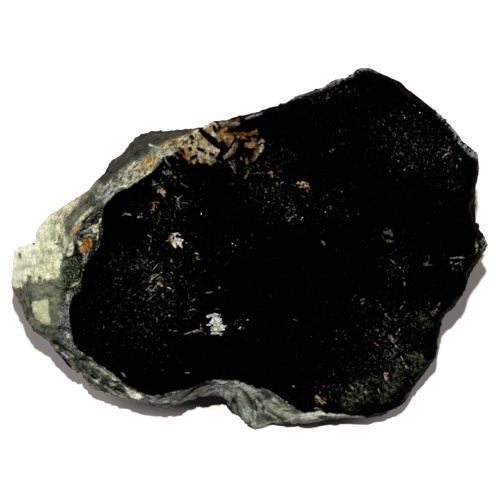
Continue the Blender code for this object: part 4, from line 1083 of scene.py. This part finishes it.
def grainBlanks():
    # broken plates of unit size, each with its own ragged outline, that every grain is a copy of
    blanks = []
    for number in range(grainShape["kinds"]):
        bpy.ops.object.select_all(action="DESELECT")
        bpy.ops.mesh.primitive_cylinder_add(vertices=grainShape["corners"], radius=0.5, depth=1.0,
                                            end_fill_type="TRIFAN")
        blank = bpy.context.object
        blank.name = "grainBlank"
        dice = random.Random(number)
        reach = {}
        for vertex in blank.data.vertices:
            corner = round(math.degrees(math.atan2(vertex.co.y, vertex.co.x)))
            if corner not in reach:
                reach[corner] = 1.0 + dice.uniform(-1, 1) * grainShape["ragged"]
            vertex.co.x *= reach[corner]
            vertex.co.y *= reach[corner]
            if vertex.co.x ** 2 + vertex.co.y ** 2 > 0.01:
                vertex.co.z -= grainShape["bevel"] + dice.uniform(0, grainShape["bevel"])
        blanks.append(blank)
    return blanks


def onFlatFace(px, py):
    x, y = atPixel(px, py)
    out = planeNormal
    z = planePoint.z - ((x - planePoint.x) * out.x + (y - planePoint.y) * out.y) / out.z
    return Vector((x, y, z))


def placeGrain(blank, stroke, dice, tilt=0.0):
    ax, ay, bx, by, width = stroke
    start, end = onFlatFace(ax, ay), onFlatFace(bx, by)
    along = end - start
    length = along.length + width * photo["pixel"] * grainShape["overrun"]
    along = along.normalized() if along.length > 1e-6 else Vector((1, 0, 0))
    across = planeNormal.cross(along)
    upward = planeNormal
    if tilt:
        turn = Matrix.Rotation(dice.uniform(-tilt, tilt), 3, along)
        turn = turn @ Matrix.Rotation(dice.uniform(-tilt, tilt), 3, across)
        along, across, upward = turn @ along, turn @ across, turn @ upward
    thick = min(grainShape["thick"], width * photo["pixel"])
    proud = grainShape["proud"] * dice.uniform(*grainShape["proudBy"])
    middle = (start + end) / 2 + planeNormal * (proud - thick / 2)
    sides = (along * length, across * width * photo["pixel"], upward * thick)
    frameOf = Matrix(sides).transposed().to_4x4()
    copy = bpy.data.objects.new("grain", blank.data.copy())
    copy.matrix_world = Matrix.Translation(middle) @ frameOf
    bpy.context.scene.collection.objects.link(copy)
    return copy


def strokeFrom(x, y, length, turn, width):
    return x, y, x + length * math.cos(turn), y + length * math.sin(turn), width


def crumbStrokes(stroke, dice):
    # a lath breaks up at its edges: a few crumbs half on it, so that its outline isn't straight
    ax, ay, bx, by, width = stroke
    crumbs = []
    for _ in range(int(1 + math.hypot(bx - ax, by - ay) * width / grainShape["perCrumb"])):
        share = dice.random()
        x = ax + (bx - ax) * share + dice.uniform(-0.5, 0.5) * width
        y = ay + (by - ay) * share + dice.uniform(-0.5, 0.5) * width
        size = width * dice.uniform(*grainShape["crumbSize"])
        turn = dice.uniform(0, math.tau)
        crumbs.append(strokeFrom(x, y, size, turn, size * dice.uniform(*grainShape["crumbWidth"])))
    return crumbs


# The outline on the sides where the black face reaches it, drawn in by two pixels
faceReach = [
    150, 400, 70, 340, 60, 260, 110, 170, 180, 125, 240, 120, 290, 106, 330, 90, 368, 74, 398, 85, 430, 112,
    458, 142, 474, 158, 473, 200, 474, 226, 480, 240, 466, 276, 452, 304, 438, 318, 434, 352, 414, 382,
    400, 400, 380, 412, 340, 414, 250, 384,
]


def onBlack(ends):
    offRind = areaDepth(ends, blackEdge).min() > grainShape["clearOfRind"]
    return offRind and areaDepth(ends, faceReach).min() > grainShape["clearOfRim"]


def crowdStrokes(crowd, dice):
    cx, cy, reachX, reachY, _, count, _, longest, widest = crowd
    spread = grainShape["crowdSpread"]
    strokes = []
    while len(strokes) < count:
        x, y = cx + dice.gauss(0, spread) * reachX, cy + dice.gauss(0, spread) * reachY
        share = dice.uniform(*grainShape["crowdLength"]) ** grainShape["crowdBias"]
        length = longest * grainShape["crowdGain"] * share
        turn = dice.uniform(0, math.tau)
        stroke = strokeFrom(x, y, length, turn, widest * dice.uniform(*grainShape["crowdWidth"]))
        if onBlack(np.array([stroke[:2], stroke[2:4]], float)):
            strokes.append(stroke)
    return strokes


def grainFinish(name):
    light, deep = grainTones[name]
    material = bpy.data.materials.new(name + "Grain")
    material.use_nodes = True
    tree = material.node_tree
    surface = tree.nodes["Principled BSDF"]
    place = addNode(tree, "ShaderNodeTexCoord").outputs["Object"]
    bits = noiseAt(tree, place, *grainPaint["bits"])
    grain = noiseAt(tree, place, *grainPaint["grain"])
    colour = useGroup(tree, mineralTone, Light=linear(light), Deep=linear(deep), Clouds=bits,
                      Contrast=grainPaint["contrast"], Grain=grain, Graininess=grainPaint["graininess"])
    tree.links.new(colour, surface.inputs["Base Color"])
    tree.links.new(sums(tree, "MULTIPLY_ADD", bits, 0.4, 0.25), surface.inputs["Roughness"])
    surface.inputs["Specular IOR Level"].default_value = grainPaint["specular"]
    bump = addNode(tree, "ShaderNodeBump", Strength=grainPaint["bumpStrength"],
                   Distance=grainPaint["bumpDepth"], Height=grain)
    tree.links.new(bump.outputs["Normal"], surface.inputs["Normal"])
    return material


def buildGrains():
    dice = random.Random(grainShape["seed"])
    blanks = grainBlanks()
    placed = {name: [] for name in grainTones}
    for name, strokes in laths.items():
        for stroke in strokes:
            whole = [stroke] + crumbStrokes(stroke, dice)
            placed[name] += [placeGrain(dice.choice(blanks), piece, dice) for piece in whole]
    for crowd in crowds:
        placed[crowd[6]] += [placeGrain(dice.choice(blanks), stroke, dice, grainShape["tilt"])
                             for stroke in crowdStrokes(crowd, dice)]
    for name, copies in placed.items():
        bpy.ops.object.select_all(action="DESELECT")
        for copy in copies:
            copy.select_set(True)
        bpy.context.view_layer.objects.active = copies[0]
        bpy.ops.object.join()
        piece = bpy.context.object
        piece.name = name + "Grains"
        bpy.ops.object.transform_apply(location=True, rotation=True, scale=True)
        bpy.ops.object.mode_set(mode="EDIT")
        bpy.ops.mesh.select_all(action="SELECT")
        bpy.ops.mesh.normals_make_consistent(inside=False)
        bpy.ops.object.mode_set(mode="OBJECT")
        piece.data.materials.clear()
        piece.data.materials.append(grainFinish(name))
        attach(piece, "root")
        print(piece.name, len(copies), len(piece.data.polygons))
    for blank in blanks:
        bpy.data.objects.remove(blank)


# Floor, light and camera: a plain pale table, a sun from the back with two soft lamps on either side
# of it (heading, height and power), and the camera straight above
studio = {
    "floorColour": (0.86, 0.78, 0.75, 1.0), "floorRoughness": 0.9, "floorSpecular": 0.1,
    "floor": 6.0, "sunTilt": 25.0, "sunAngle": 3.0, "sunPower": 4.2, "roomGlow": 0.012,
    "fillReach": 1.5, "fillSize": 0.45,
    "fills": ((-58, 0.9, 6.5), (58, 0.9, 5.0), (-74, 0.55, 10.5), (74, 0.55, 7.5)),
    "cameraHeight": 3.0, "sensor": 36.0, "middleHeight": 0.010,
}


def makeFloor():
    bpy.ops.mesh.primitive_plane_add(size=studio["floor"], location=(0, 0, 0))
    floor = bpy.context.object
    floor.name = "table"
    material = bpy.data.materials.new("paleTable")
    material.use_nodes = True
    surface = material.node_tree.nodes["Principled BSDF"]
    surface.inputs["Base Color"].default_value = studio["floorColour"]
    surface.inputs["Roughness"].default_value = studio["floorRoughness"]
    surface.inputs["Specular IOR Level"].default_value = studio["floorSpecular"]
    floor.data.materials.append(material)


def makeLights():
    tilt = math.radians(studio["sunTilt"])
    bpy.ops.object.light_add(type="SUN", location=(0, 1, 2), rotation=(-tilt, 0, 0))
    sun = bpy.context.object
    sun.data.energy = studio["sunPower"]
    sun.data.angle = math.radians(studio["sunAngle"])
    for side, high, power in studio["fills"]:
        around = math.radians(side)
        reach = studio["fillReach"]
        away = Vector((math.sin(around) * reach, math.cos(around) * reach, high))
        aim = away.to_track_quat("Z", "Y").to_euler()
        bpy.ops.object.light_add(type="AREA", location=away, rotation=aim)
        lamp = bpy.context.object
        lamp.data.shape = "RECTANGLE"
        lamp.data.size = studio["fillSize"]
        lamp.data.size_y = studio["fillSize"]
        lamp.data.energy = power
        lamp.visible_camera = False
    world = bpy.data.worlds.new("paleRoom")
    bpy.context.scene.world = world
    world.use_nodes = True
    tree = world.node_tree
    back = tree.nodes["Background"]
    seen = addNode(tree, "ShaderNodeLightPath").outputs["Is Camera Ray"]
    strength = sums(tree, "MULTIPLY_ADD", seen, 1.0 - studio["roomGlow"], studio["roomGlow"])
    tree.links.new(strength, back.inputs["Strength"])
    back.inputs["Color"].default_value = (1.0, 1.0, 1.0, 1.0)


def makeCamera():
    x, y = atPixel(photo["middle"], photo["middle"])
    bpy.ops.object.camera_add(location=(x, y, studio["cameraHeight"]), rotation=(0, 0, 0))
    camera = bpy.context.object
    away = studio["cameraHeight"] - studio["middleHeight"]
    camera.data.sensor_width = studio["sensor"]
    camera.data.lens = studio["sensor"] * away / photo["across"]
    camera.data.clip_start = 0.1
    camera.data.clip_end = 20.0
    bpy.context.scene.camera = camera


bpy.context.scene.view_settings.view_transform = "Standard"
makeFloor()
makeLights()
makeCamera()
print("studio done")
buildStone()
buildGrains()
